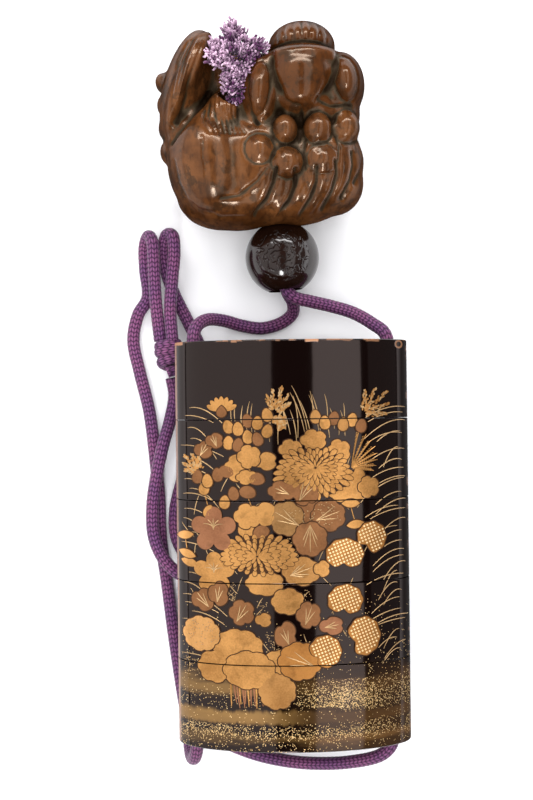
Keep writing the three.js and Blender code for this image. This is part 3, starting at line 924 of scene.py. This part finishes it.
def drawSpike(picture, start, end, width, count, chance):
    # A flower spike: small grains round a stem, widest near its foot.
    along = Vector((end[0] - start[0], end[1] - start[1]))
    side = Vector((-along.y, along.x)).normalized()
    for k in range(round(count * 1.7)):
        t = (k + chance.random()) / count / 1.7
        reach = width * (1 - 0.72 * t) * (chance.random() - 0.5) * 2
        spot = Vector(start) + along * t + side * reach
        lean = math.atan2(-(along.y + side.y * reach * 3), along.x + side.x * reach * 3)
        tone = chance.choice(("pale", "gold", "gold"))
        picture.speck((spot.x, spot.y), (0.38, 0.21), tone, 1 + chance.random(), lean)


def turned(place, reach, angle):
    # A place so far away, at an angle in degrees anticlockwise from the right.
    return (place[0] + reach * math.cos(math.radians(angle)),
            place[1] - reach * math.sin(math.radians(angle)))


def drawLeaf(picture, tone, layer, place, size, turn, lobes, veins):
    picture.flat("lobes%d" % lobes, tone, layer, place, size, 0)
    foot = turned(place, min(size) * 0.8, turn + 180)
    for k in range(veins):
        spread = (k - (veins - 1) / 2) * 34
        tip = turned(place, min(size) * (0.75 - abs(spread) / 200), turn + spread * 1.2)
        middle = turned(foot, min(size) * 0.8, turn + spread * 0.4)
        picture.line(0.2, foot, middle, tip, tone="pale", layer=layer + 1.2)


def drawBell(picture, centre, reach, tone, layer):
    # Five pointed petals, a round heart and its stamens.
    for k in range(5):
        angle = 90 + 72 * k
        picture.flat("petal5", tone, layer + (k % 2) * 0.4, turned(centre, reach * 0.48, angle),
                     (reach * 0.58, reach * 0.46), angle, 0.11)
    picture.flat("round", tone, layer + 1, centre, (reach * 0.34, reach * 0.28), 0, 0.0)
    for k in range(5):
        picture.line(0.2, centre, turned(centre, reach * 0.3, 90), turned(centre, reach * 0.55, 30 + 30 * k),
                     tone="pale", layer=layer + 1.8)


def drawFanFlower(picture, foot, reach, layer):
    # A flower from the side: petals in a fan over a brown cup.
    for k in range(7):
        angle = 152 - 20.5 * k
        size = (reach * 0.36, reach * 0.17)
        picture.flat("petal", "gold", layer + 1 - abs(k - 3) * 0.3,
                     turned(foot, reach * 0.62, angle), size, angle, 0.12)
    picture.flat("petal", "brown", layer + 2, turned(foot, reach * 0.1, 90),
                 (reach * 0.34, reach * 0.36), 270)


def drawBuds(picture, first, last, count, shape, tones, chance):
    # Buds to the left and right of a stem, in turn.
    middle = ((first[0] + last[0]) / 2, (first[1] + last[1]) / 2 + 0.6)
    picture.line(0.22, first, middle, last, tone="gold", layer=0.6)
    for k in range(count):
        t = k / max(1, count - 1)
        spot = (first[0] + (last[0] - first[0]) * t,
                first[1] + (last[1] - first[1]) * t + (k % 2 - 0.5) * 1.1)
        turn = chance.uniform(70, 110) if shape == "bud" else chance.uniform(-20, 30)
        size = {"bud": (1.5, 1.15), "half": (1.8, 1.5), "leaf": (2.0, 0.9)}[shape]
        picture.flat(shape, tones[k % len(tones)], 2 + k % 2, spot, size, turn)


def drawGrass(picture, chance):
    # Blades that lean out over both flanks, upright ones at the top, and short ones among the leaves.
    for side, count in ((-1, 26), (1, 34)):
        for k in range(count):
            down = 15 + 56 * k / count + chance.uniform(-0.8, 0.8)
            foot = (side * chance.uniform(14.5, 20), down + chance.uniform(1.5, 4.5))
            tip = (side * chance.uniform(22.5, 25.3), down)
            bend = (side * (abs(foot[0]) * 0.45 + abs(tip[0]) * 0.55), down - chance.uniform(0.2, 1.0))
            picture.line(0.2, foot, bend, tip, tone="pale", layer=chance.random() * 0.8)
    for k in range(30):
        foot = (-13 + 0.85 * k + chance.uniform(-0.5, 0.5), chance.uniform(17.5, 23))
        reach = chance.uniform(4, 12) if 8 < k < 24 else chance.uniform(2.5, 7)
        lean = 104 - k * 0.6 + chance.uniform(-9, 9)
        tip = turned(foot, reach, lean + (10 if k > 12 else -10))
        picture.line(0.2, foot, turned(foot, reach * 0.55, lean), tip, tone="pale",
                     layer=chance.random() * 0.8)
    for _ in range(70):
        foot = (chance.uniform(-22, 15), chance.uniform(26, 70))
        lean = chance.uniform(40, 140)
        reach = chance.uniform(2, 4.5)
        picture.line(0.18, foot, turned(foot, reach * 0.5, lean + 8), turned(foot, reach, lean), tone="pale",
                     layer=chance.random() * 0.5)


def drawPicture():
    chance = random.Random(7)
    picture = Picture()
    drawGrass(picture, chance)
    for leaf in pictureAreas["leaves"]:
        drawLeaf(picture, *leaf)
    for bell in pictureAreas["bells"]:
        drawBell(picture, *bell)
    drawFanFlower(picture, (-15.4, 16), 3.8, 2)
    for buds in pictureAreas["buds"]:
        drawBuds(picture, *buds, chance)
    drawChrysanthemum(picture, (4.8, 28), (-4.3, 23.4), (13, 35), (26, 26, 22, 14), 3.2)
    drawChrysanthemum(picture, (-8, 47.2), (-16, 42.2), (0.8, 51.4), (26, 24, 18, 11), 3.2)
    for place, size, notch in pictureAreas["dotted"]:
        drawDisc(picture, place, size, notch)
    for foot, middle, reach in pictureAreas["sprays"]:
        for k in range(5):
            angle = middle + (k - 2) * 21
            tip = turned(foot, reach * (1 - 0.15 * abs(k - 2)), angle)
            drawSpike(picture, turned(foot, 0.8, angle), tip, 0.85, 24, chance)
    # a fan of feathered leaves
    for k in range(8):
        start, angle = (12.8, 28.2), 78 - 12.5 * k
        end = turned(start, 8.5 - 0.5 * k, angle)
        picture.line(0.3, start, turned(start, 4, angle + 6), end, tone="gold", layer=1.5)
        for step in range(1, 11):
            spot = turned(start, (8.2 - 0.5 * k) * step / 11, angle + 3)
            for side in (-1, 1):
                picture.speck((spot[0], spot[1] + side * 0.22), (0.3, 0.12), "gold", 1.5,
                              math.radians(angle) + side * 0.5)
    for middle, reach, count in pictureAreas["netting"]:
        for _ in range(count):
            spot = (middle[0] + chance.uniform(-1, 1) * reach[0],
                    middle[1] + chance.uniform(-1, 1) * reach[1])
            picture.speck(spot, (0.13, 0.13), "pale", 0.2)
    # stems below the lowest leaves
    for k in range(11):
        top = -14.2 + k * 0.62
        picture.line(0.36, (top, 72.5), (top + 0.1, 76),
                     (top + 0.9 * chance.random(), 79.0 + 1.4 * chance.random()),
                     tone="rose" if k % 3 else "gold", layer=0.5)
    # pale dots on some leaves
    for centre, reach, count in (((7.5, 38), (3.2, 2.6), 46), ((-20, 64), (3.6, 3), 60),
                                 ((1.5, 38.5), (3, 1.5), 26)):
        for _ in range(count):
            spot = turned(centre, 1, chance.uniform(0, 360))
            far = chance.random() ** 0.5
            spot = (centre[0] + (spot[0] - centre[0]) * reach[0] * far,
                    centre[1] + (spot[1] - centre[1]) * reach[1] * far)
            picture.speck(spot, (0.15, 0.15), "pale", 6.0)
    return picture.bm


def toneFinish(name, light, dark, metal, rough):
    gold = Finish("picture_" + name)
    powder = gold.noise(2600, 2.0, 0.6)
    shade = gold.noise(150, 3.0, 0.6)
    worn = gold.noise(380, 3.0, 0.6)
    colour = gold.mix((powder * 0.45 + shade * 0.8).ramp(0.38, 0.82), dark, light)
    colour = gold.mix(worn.ramp(0.5, 0.75) * 0.45, colour, tuple(c * 0.55 for c in dark))
    normal = gold.bump(powder, 0.00003, 0.5)
    return gold.surface(colour=colour, rough=rough, metal=metal, normal=normal, specular=0.15)


def pictureFinishes():
    tones = {
        "gold": ((0.68, 0.335, 0.105), (0.40, 0.185, 0.053), 0.78, 0.34),
        "ochre": ((0.48, 0.235, 0.075), (0.30, 0.135, 0.038), 0.6, 0.38),
        "amber": ((0.46, 0.20, 0.052), (0.32, 0.13, 0.032), 0.6, 0.38),
        "brown": ((0.25, 0.108, 0.042), (0.165, 0.068, 0.025), 0.4, 0.42),
        "rose": ((0.31, 0.132, 0.062), (0.22, 0.088, 0.040), 0.35, 0.42),
        "olive": ((0.30, 0.155, 0.054), (0.17, 0.082, 0.027), 0.4, 0.42),
        "dotgold": ((0.70, 0.36, 0.13), (0.50, 0.245, 0.075), 0.75, 0.34),
        "pale": ((0.56, 0.36, 0.175), (0.40, 0.245, 0.11), 0.5, 0.4),
        "outline": ((0.050, 0.020, 0.007), (0.028, 0.011, 0.004), 0.0, 0.35),
        "bright": ((0.95, 0.73, 0.41), (0.85, 0.62, 0.32), 0.45, 0.36)}
    return [toneFinish(name, *tones[name]) for name in toneNames]


def makePicture():
    whole = drawPicture()
    finishes = pictureFinishes()
    gap = pictureLook["seamGap"]
    for index, node in enumerate(sectionNodes):
        low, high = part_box(node)
        top = high[1] / mm - (0 if index == 0 else caseLook["riserHeight"] - 0.3)
        bottom = low[1] / mm
        part = whole.copy()
        for edge, side in ((bottom + gap, -1), (top - gap, 1)):
            geom = part.verts[:] + part.edges[:] + part.faces[:]
            bmesh.ops.bisect_plane(part, geom=geom, dist=1e-8, plane_co=(0, edge * mm, 0),
                                   plane_no=(0, side, 0),
                                   clear_outer=True)
        open_ = [edge for edge in part.edges if edge.is_boundary]
        bmesh.ops.holes_fill(part, edges=open_, sides=0)
        if not part.faces:
            part.free()
            continue
        piece = newPiece(node + "_picture", part, finishes, smooth=False)
        arranged(piece, "lacquer")
    whole.free()
    print("picture drawn")


makePicture()


netsukeLook = {"voxel": 0.34, "coarse": 0.6, "blend": 6, "ground": 0.6, "tunnel": 3.9,
               "smooth": 3, "curlFlat": 0.7}
tunnelStart, tunnelEnd = Vector((-0.5, 36.0, 8.5)), Vector((-9.0, 60.0, 17.5))

# Each mass: centre, half sizes and turn about Z in degrees.
netsukeMasses = {
    "body": [((-6, 49.5, 12.5), (19, 13.5, 13), 0), ((-15, 49.5, 13.5), (10, 13.5, 13.2), 10),
             ((-10, 42.5, 12), (13, 7, 11.5), 0), ((8.5, 49.5, 13), (10, 11.5, 12.2), 0),
             ((4.5, 44.5, 12), (12.5, 8, 11), 8), ((11.5, 46, 12), (7, 7.5, 10), 20),
             ((-10.5, 68, 8), (12.5, 9.5, 8), 0), ((-12, 60, 14), (5, 6, 10.5), 0),
             ((-9, 43.5, 17), (6.5, 2.5, 6.4), 30), ((-15, 39.5, 10), (7, 3.3, 8.5), -12),
             ((-23, 53, 11), (2.5, 9, 9), 4)],
    "head": [((5, 75.5, 14), (7.5, 5.5, 9.5), 0), ((5, 71, 20), (9, 3, 8.6), 0),
             ((4.5, 67.5, 19.2), (8.2, 6.6, 10.2), 0), ((4.5, 63.5, 18.2), (7, 5.3, 10), 0),
             ((8, 60.5, 14.5), (7.5, 5.3, 10), 0), ((-4, 64.5, 18.2), (4.7, 8.7, 9.2), -4),
             ((-4.5, 64, 20.4), (3.1, 6.4, 7.6), -6), ((13.5, 66.5, 17.2), (5.1, 6.9, 9.2), 8),
             ((14, 66, 19), (3.3, 5.3, 8.4), 6), ((12.5, 60.5, 13.5), (5.3, 6.7, 9.5), 0)],
    "tail": [((-20.5, 67.5, 13), (5.1, 13, 9.5), -17), ((-22, 64.5, 15.5), (2.5, 10, 9), -15),
             ((-18, 70, 15.5), (2.1, 9.3, 9), -18), ((-20.2, 67.5, 17), (1.6, 11, 8.6), -17)],
    "knobs": [((-26 + 0.4 * k, 69 - 5.2 * k, 10), (1.8 + 0.1 * k, 2 + 0.2 * k, 6), 0) for k in range(4)],
    "locks": [((-4.3 + 4.6 * k - 0.65 * max(0, k - 3) ** 2, 41.3 + 0.48 * (k - 1) ** 2, 16 - 0.65 * k),
               (2.4, 5.2, 6.6), -24 + 3.2 * k) for k in range(6)],
    "curls": [((1, 55.5, 22), (2.8, 3.3, 4.8), 8), ((8, 55.5, 21.9), (3.2, 3.5, 4.8), -6),
              ((14.3, 56.2, 19.2), (3, 3.6, 5.2), -12), ((-4.5, 51.2, 21.9), (3.1, 3.3, 4.9), 10),
              ((1.4, 48.3, 22.1), (3.4, 3.5, 5.1), -4), ((9, 49, 20.9), (3.4, 3.2, 5.2), -8)]}

# Lines carved on the head and haunch: width, depth and the places they run through.
netsukeLines = [
    (0.4, 0.7, [(-2, 73.8), (1.5, 74.4), (5, 74.6), (9, 74.4), (12.5, 73.5)]),
    (0.25, 0.3, [(-1, 73), (5, 73.6), (12, 72.6)]),
    (0.6, 0.5, [(-1.8, 72.3), (-1.8, 68.5), (-0.9, 65), (1, 61.2)]),
    (0.6, 0.55, [(12.5, 71.6), (12, 68), (10.8, 64.6), (8.2, 61.2)]),
    (0.4, 0.55, [(1, 61.2), (2.5, 60.3), (4.3, 59.9)]),
    (0.4, 0.6, [(8.2, 61.2), (10.8, 60.3), (15.3, 60.8)]),
    (0.4, 0.6, [(-3, 72.3), (-5.2, 70.7), (-6.8, 67.5), (-7.2, 63.2), (-6.3, 59), (-4.8, 56.8)]),
    (0.35, 0.5, [(4.5, 59.7), (4.5, 56), (4, 53)]), (0.35, 0.5, [(5.1, 53), (4.9, 50.3), (5.3, 46.8)]),
    (0.35, 0.5, [(11.8, 53.8), (12.6, 51.6), (12.4, 48.2)]),
    (0.5, 0.7, [(-23.7, 53.5), (-21.5, 56.2), (-19.5, 58.8), (-17, 62), (-15.5, 65.2)]),
    (0.4, 0.5, [(-17.1, 62), (-14.6, 64.6), (-11.5, 65.5)]),
    (0.16, 0.5, [(-16.7, 54), (-16.4, 51.6), (-16.7, 50), (-16, 47.3), (-16, 44.7)]),
    (0.3, 0.3, [(-20.8, 41.5), (-17.7, 39), (-13, 37.4), (-7.6, 37.4)]),
    (0.3, 0.3, [(-23, 49.6), (-22.1, 44.8), (-19.5, 39.8), (-16.4, 36.6)]),
    (0.35, 0.4, [(-12.9, 40.8), (-9, 41.4), (-5, 44.3), (-2.8, 47)])]


def ringLine(centre, radii, turn, steps=12):
    # Places round an oval.
    line = []
    for k in range(steps + 1):
        angle = 2 * math.pi * k / steps
        spot = Vector((radii[0] * math.cos(angle), radii[1] * math.sin(angle)))
        spot.rotate(Matrix.Rotation(math.radians(turn), 2))
        line.append((centre[0] + spot.x, centre[1] + spot.y))
    return line


def netsukeGrooves():
    grooves = list(netsukeLines)
    for centre, radii, turn in netsukeMasses["curls"]:
        grooves.append((0.26, 0.4, ringLine(centre, (radii[0] * 1.08, radii[1] * 1.08), turn)))
        grooves.append((0.2, 0.22, [(centre[0] - radii[0] * 0.5, centre[1] + radii[1] * 0.75),
                                    (centre[0] - radii[0] * 0.15, centre[1] + radii[1] * 0.2),
                                    (centre[0] - radii[0] * 0.28, centre[1] - radii[1] * 0.35)]))
    for index in (6, 8):  # the inner ears
        centre, radii, turn = netsukeMasses["head"][index]
        grooves.append((0.32, 0.45, ringLine(centre, (radii[0] * 0.86, radii[1] * 0.95), turn)))
    for k, (centre, radii, turn) in enumerate(netsukeMasses["locks"]):
        angle = math.radians(turn)
        along = Vector((-math.sin(angle), math.cos(angle)))
        for offset, width, depth in ((2.3, 0.5, 0.75), (0.2, 0.2, 0.18)):
            start = Vector(centre[:2]) + Vector((offset, 0.4 * offset))
            line = [start + along * step + Vector((-0.05 * step * step, 0))
                    for step in (4.5, 1.5, -2.0, -5.5)]
            grooves.append((width, depth, [tuple(spot) for spot in line]))
    for k in range(8):  # the mane behind the head
        x, top = -16.3 + 1.05 * k, 60.3 + 3.6 * math.sin(math.pi * k / 7)
        grooves.append((0.28, 0.42, [(x, top), (x - 0.2, top - 3), (x + 1.4, 54.6)]))
    for k in range(-3, 4):  # the crown
        x = 4.8 + 1.8 * k
        grooves.append((0.3, 0.65 if k == 0 else 0.35,
                        [(x, 79.6 - 0.25 * k * k), (x + 0.15 * k, 77), (x, 75.2)]))
    for k in range(5):  # the tail
        x = -15.6 - 1.05 * k
        grooves.append((0.35, 0.42, [(x, 76.8 - 0.3 * k), (x - 2.0, 71), (x - 4.4 + 0.3 * k, 64),
                                     (x - 6.6 + 0.8 * k, 57.6)]))
    return grooves


tuftLobes = [((-10.4, 71.6, 21.0), (4.9, 6.4, 6.5), 0), ((-4.9, 75.2, 21.5), (3.0, 2.4, 4.0), 0),
             ((-10.6, 65.0, 20.5), (2.3, 4.0, 4.5), 0)]


def addLobe(bm, centre, radii, turn, grow=0.0, flat=1.0):
    made = bmesh.ops.create_uvsphere(bm, u_segments=28, v_segments=18, radius=1)["verts"]
    for vert in made:
        vert.co.z = math.copysign(abs(vert.co.z) ** flat, vert.co.z)
        spot = Vector([vert.co[k] * (radii[k] + grow) for k in range(3)])
        spot.rotate(Matrix.Rotation(math.radians(turn), 3, "Z"))
        vert.co = spot + Vector(centre)


def remeshed(piece, size):
    step = piece.modifiers.new("remesh", "REMESH")
    step.mode = "VOXEL"
    step.voxel_size = size * mm
    return applied(piece)


def smoothed(piece, times):
    step = piece.modifiers.new("smooth", "SMOOTH")
    step.iterations = times
    return applied(piece)


def cutWith(piece, bm):
    bmesh.ops.scale(bm, verts=bm.verts, vec=(mm, mm, mm))
    cutter = newPiece("cutter", bm)
    cut = piece.modifiers.new("cut", "BOOLEAN")
    cut.operation = "DIFFERENCE"
    cut.solver = "EXACT"
    cut.object = cutter
    applied(piece)
    remove(cutter)


def neighbourMean(values, edges, counts):
    total = np.zeros_like(values)
    np.add.at(total, edges[:, 0], values[edges[:, 1]])
    np.add.at(total, edges[:, 1], values[edges[:, 0]])
    return total / counts


def lineDistance(points, line):
    # Distance in plan from each point to a line through several places.
    best = np.full(len(points), 1e9)
    for start, end in zip(line, line[1:]):
        start, end = np.array(start), np.array(end)
        along = end - start
        t = np.clip(((points - start) @ along) / max(1e-9, along @ along), 0, 1)
        best = np.minimum(best, np.linalg.norm(points - start - t[:, None] * along, axis=1))
    return best


def carved(piece):
    # Cuts the lines into the surface, and notes how deep each point lies among its neighbours.
    mesh = piece.data
    count = len(mesh.vertices)
    points = np.empty(count * 3, dtype=np.float64)
    mesh.vertices.foreach_get("co", points)
    points = points.reshape(-1, 3) / mm
    normals = np.empty(count * 3)
    mesh.vertices.foreach_get("normal", normals)
    normals = normals.reshape(-1, 3)
    edges = np.empty(len(mesh.edges) * 2, dtype=np.int64)
    mesh.edges.foreach_get("vertices", edges)
    edges = edges.reshape(-1, 2)
    counts = np.maximum(1, np.bincount(edges.ravel(), minlength=count))[:, None]
    cut = np.zeros(count)
    for width, depth, line in netsukeGrooves():
        low = np.min(line, axis=0) - 2
        high = np.max(line, axis=0) + 2
        near = np.all((points[:, :2] > low) & (points[:, :2] < high), axis=1) & (normals[:, 2] > -0.2) \
            & (points[:, 2] > 6)
        away = lineDistance(points[near][:, :2], line)
        cut[near] = np.maximum(cut[near], depth * np.exp(-(away / width) ** 2))
    facing = np.clip((normals[:, 2] - 0.05) / 0.5, 0, 1)
    moved = points - normals * (cut * facing)[:, None]
    smooth = moved.copy()
    for _ in range(2):
        moved = moved * 0.6 + neighbourMean(moved, edges, counts) * 0.4
    for _ in range(18):
        smooth = neighbourMean(smooth, edges, counts)
    hollow = np.einsum("ij,ij->i", smooth - moved, normals)
    return moved, hollow, normals[:, 2]


def fittedTo(points, node):
    low, high = (np.array(c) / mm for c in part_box(node))
    now = points.min(axis=0), points.max(axis=0)
    return (points - now[0]) / (now[1] - now[0]) * (high - low) + low


def woodFinish():
    wood = Finish("carved_boxwood")
    hollow = wood.node("ShaderNodeAttribute", {"attribute_name": "hollow"}, out=2)
    facing = wood.node("ShaderNodeAttribute", {"attribute_name": "facing"}, out=2)
    x, y, z = wood.axes()
    cloud = wood.noise(150, 4.0, 0.6)
    grain = wood.noise(420, 3.0, 0.6, stretch=(1.6, 0.35, 1))
    stain = wood.noise(260, 3.0, 0.7)
    head = y.ramp(57 * mm, 62 * mm) * x.ramp(-9 * mm, -4 * mm)
    warm = wood.mix(cloud.ramp(0.35, 0.65), (0.135, 0.048, 0.014), (0.064, 0.020, 0.005))
    warm = wood.mix(head * 0.7, warm, (0.058, 0.0150, 0.0022))
    warm = wood.mix(grain.ramp(0.46, 0.68) * 0.7, warm, (0.030, 0.010, 0.003))
    warm = wood.mix(stain.ramp(0.52, 0.64) * 0.65, warm, (0.022, 0.011, 0.005))
    # grey-olive dust in the hollows; painted shade: near black in the deepest hollows
    dull = wood.mix(hollow.ramp(0.02, 0.18), warm, (0.036, 0.024, 0.012))
    deep = wood.mix(hollow.ramp(0.13, 0.4), dull, (0.008, 0.005, 0.0025))
    proud = wood.mix((1 - hollow.ramp(-0.3, -0.06)) * 0.3, deep, (0.16, 0.060, 0.022))
    normal = wood.bump(grain, 0.00005, 0.35)
    normal = wood.bump(wood.noise(1100, 3.0, 0.6), 0.00003, 0.4, normal)
    # steep sides and hollows turn matte and, at half strength, darker: the darkening is painted shade
    side = (1 - facing.ramp(0.3, 0.88)).larger(hollow.ramp(0.1, 0.35) * 0.8)
    wood.matte(side * 0.96, wood.mix(side * 0.5, proud, (0.018, 0.007, 0.0025)))
    rough = 0.13 + hollow.ramp(0.0, 0.2) * 0.35 + grain * 0.1
    wood.shader.inputs["Specular Tint"].default_value = (1.0, 0.78, 0.6, 1.0)
    return wood.surface(colour=proud, rough=rough, normal=normal, specular=0.5)


def makeNetsuke():
    bm = bmesh.new()
    for name, masses in netsukeMasses.items():
        for centre, radii, turn in masses:
            addLobe(bm, centre, radii, turn, flat=netsukeLook["curlFlat"] if name == "curls" else 1.0)
    bmesh.ops.scale(bm, verts=bm.verts, vec=(mm, mm, mm))
    piece = smoothed(remeshed(newPiece("boxwood_carving", bm), netsukeLook["coarse"]), netsukeLook["blend"])
    cutter = bmesh.new()
    along = tunnelEnd - tunnelStart
    made = bmesh.ops.create_cone(cutter, cap_ends=True, segments=32, radius1=netsukeLook["tunnel"],
                                 radius2=netsukeLook["tunnel"], depth=along.length + 6)["verts"]
    turn = along.to_track_quat("Z", "Y").to_matrix()
    for vert in made:
        vert.co = turn @ vert.co + (tunnelStart + tunnelEnd) / 2
    cutWith(piece, cutter)
    cutter = bmesh.new()
    bmesh.ops.create_cube(cutter, size=80)
    bmesh.ops.translate(cutter, verts=cutter.verts, vec=(0, 50, -40 + netsukeLook["ground"]))
    cutWith(piece, cutter)
    for centre, radii, turn in tuftLobes:
        cutter = bmesh.new()
        addLobe(cutter, centre, radii, turn, 0.5)
        cutWith(piece, cutter)
    piece = smoothed(remeshed(piece, netsukeLook["voxel"]), netsukeLook["smooth"])
    points, hollow, facing = carved(piece)
    points = fittedTo(points, "netsuke") * mm
    piece.data.vertices.foreach_set("co", points.ravel())
    for name, values in (("hollow", hollow), ("facing", facing)):
        note = piece.data.attributes.new(name, "FLOAT", "POINT")
        note.data.foreach_set("value", values)
    piece.data.materials.append(woodFinish())
    piece.data.shade_smooth()
    piece.data.update()
    print("netsuke carved", len(piece.data.polygons))
    return arranged(piece, "carved_wood", "netsuke")


makeNetsuke()


def beadFinish():
    bead = Finish("dark_bead")
    x, y, z = bead.axes()
    cloud = bead.noise(350, 4.0)
    colour = bead.mix(cloud, (0.006, 0.0022, 0.0015), (0.016, 0.006, 0.0035))
    # a shallow engraved figure on the top
    top = z.ramp(14.3 * mm, 15.4 * mm)
    warped = bead.noise(230, 2.5, 0.55)
    ring = (abs((warped * 9).part() - 0.5)).ramp(0.0, 0.22)
    normal = bead.bump(bead.noise(2500, 2.0), 0.00002, 0.25)
    normal = bead.bump(ring * top, 0.00035, 0.9, normal)
    return bead.surface(colour=colour, rough=0.13, normal=normal)


def makeBead():
    look = {"turn": 5.0, "bore": 3.9, "sides": 96, "steps": 40}
    low, high = (Vector(c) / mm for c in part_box("ojime_bead"))
    centre = (low + high) / 2
    radius = (high.z - low.z) / 2
    mouth = math.asin(look["bore"] / radius)
    bm = bmesh.new()
    # half a section of the bead, spun round Y
    verts = []
    for i in range(look["steps"] + 1):
        angle = mouth + (math.pi - 2 * mouth) * i / look["steps"]
        verts.append(bm.verts.new((radius * math.sin(angle), -radius * math.cos(angle), 0)))
    edges = [bm.edges.new(pair) for pair in zip(verts, verts[1:] + verts[:1])]
    bmesh.ops.spin(bm, geom=verts + edges, cent=(0, 0, 0), axis=(0, 1, 0), dvec=(0, 0, 0),
                   angle=2 * math.pi, steps=look["sides"], use_merge=True)
    bmesh.ops.remove_doubles(bm, verts=bm.verts, dist=1e-4)
    bmesh.ops.recalc_face_normals(bm, faces=bm.faces)
    bmesh.ops.rotate(bm, verts=bm.verts, matrix=Matrix.Rotation(math.radians(look["turn"]), 3, "Z"))
    bmesh.ops.translate(bm, verts=bm.verts, vec=centre)
    bmesh.ops.scale(bm, verts=bm.verts, vec=(mm, mm, mm))
    piece = newPiece("dark_ojime", bm, beadFinish())
    piece.data.set_sharp_from_angle(angle=math.radians(50))
    print("bead made")
    return arranged(piece, "bead", "ojime_bead")


makeBead()


def makeStage():
    bm = bmesh.new()
    bmesh.ops.create_grid(bm, x_segments=1, y_segments=1, size=3)
    bmesh.ops.translate(bm, verts=bm.verts, vec=(0, 0, -0.0002))
    paper = Finish("pale_paper")
    paper.surface(colour=(0.93, 0.93, 0.95), rough=0.9, specular=0.0)
    paper.shader.inputs["Emission Color"].default_value = (1, 1, 1, 1)
    paper.shader.inputs["Emission Strength"].default_value = 0.08
    floor = newPiece("floor", bm, paper.material)


def panel(name, low, high, halfLength, radiance, glossy=True, tint=(1, 1, 1)):
    # A long soft box from one point to another in the XZ plane, facing the object.
    low, high = Vector(low), Vector(high)
    centre = (low + high) / 2
    across = high - low
    data = bpy.data.lights.new(name, "AREA")
    data.shape = "RECTANGLE"
    data.size = across.length
    data.size_y = halfLength * 2
    data.energy = radiance * math.pi * data.size * data.size_y
    data.color = tint
    light = bpy.data.objects.new(name, data)
    xAxis = across.normalized()
    yAxis = Vector((0, 1, 0))
    zAxis = xAxis.cross(yAxis)
    if zAxis.dot(centre) < 0:  # the light shines along its own -Z, towards the origin
        xAxis = -xAxis
        zAxis = -zAxis
    turn = Matrix((xAxis, yAxis, zAxis)).transposed().to_4x4()
    light.matrix_world = Matrix.Translation(centre) @ turn
    light.visible_glossy = glossy
    light.visible_camera = False
    scene.collection.objects.link(light)


def glint(name, place, size, radiance):
    # A small soft box that faces the carving and gives it its highlights.
    data = bpy.data.lights.new(name, "AREA")
    data.shape = "RECTANGLE"
    data.size, data.size_y = size
    data.energy = radiance * math.pi * size[0] * size[1]
    light = bpy.data.objects.new(name, data)
    light.location = place
    light.rotation_euler = (Vector(place) - Vector((0, 0.055, 0.02))).to_track_quat("Z", "Y").to_euler()
    light.visible_camera = False
    scene.collection.objects.link(light)


def makeLights():
    panel("soft_left", (-0.093, 0, 0.60), (-0.72, 0, 0.04), 0.9, 0.97)
    panel("soft_right", (0.125, 0, 0.62), (0.47, 0, 0.56), 0.9, 1.58)
    panel("soft_far_right", (0.52, 0, 0.50), (0.74, 0, 0.04), 0.9, 0.16)
    panel("fill_top", (-0.5, 0, 1.2), (0.5, 0, 1.2), 0.5, 2.3, glossy=False)
    glint("glint_head", (-0.02, 0.60, 0.46), (0.80, 0.13), 14.0)
    glint("glint_foot", (-0.04, -0.62, 0.50), (0.12, 0.20), 34.0)
    world = bpy.data.worlds.new("room")
    world.use_nodes = True
    backdrop = world.node_tree.nodes["Background"]
    backdrop.inputs[0].default_value = (0.85, 0.85, 1.0, 1)
    backdrop.inputs[1].default_value = 0.05
    scene.world = world
    scene.view_settings.view_transform = "Standard"
    scene.view_settings.look = "None"


makeStage()
makeLights()
print("stage set")
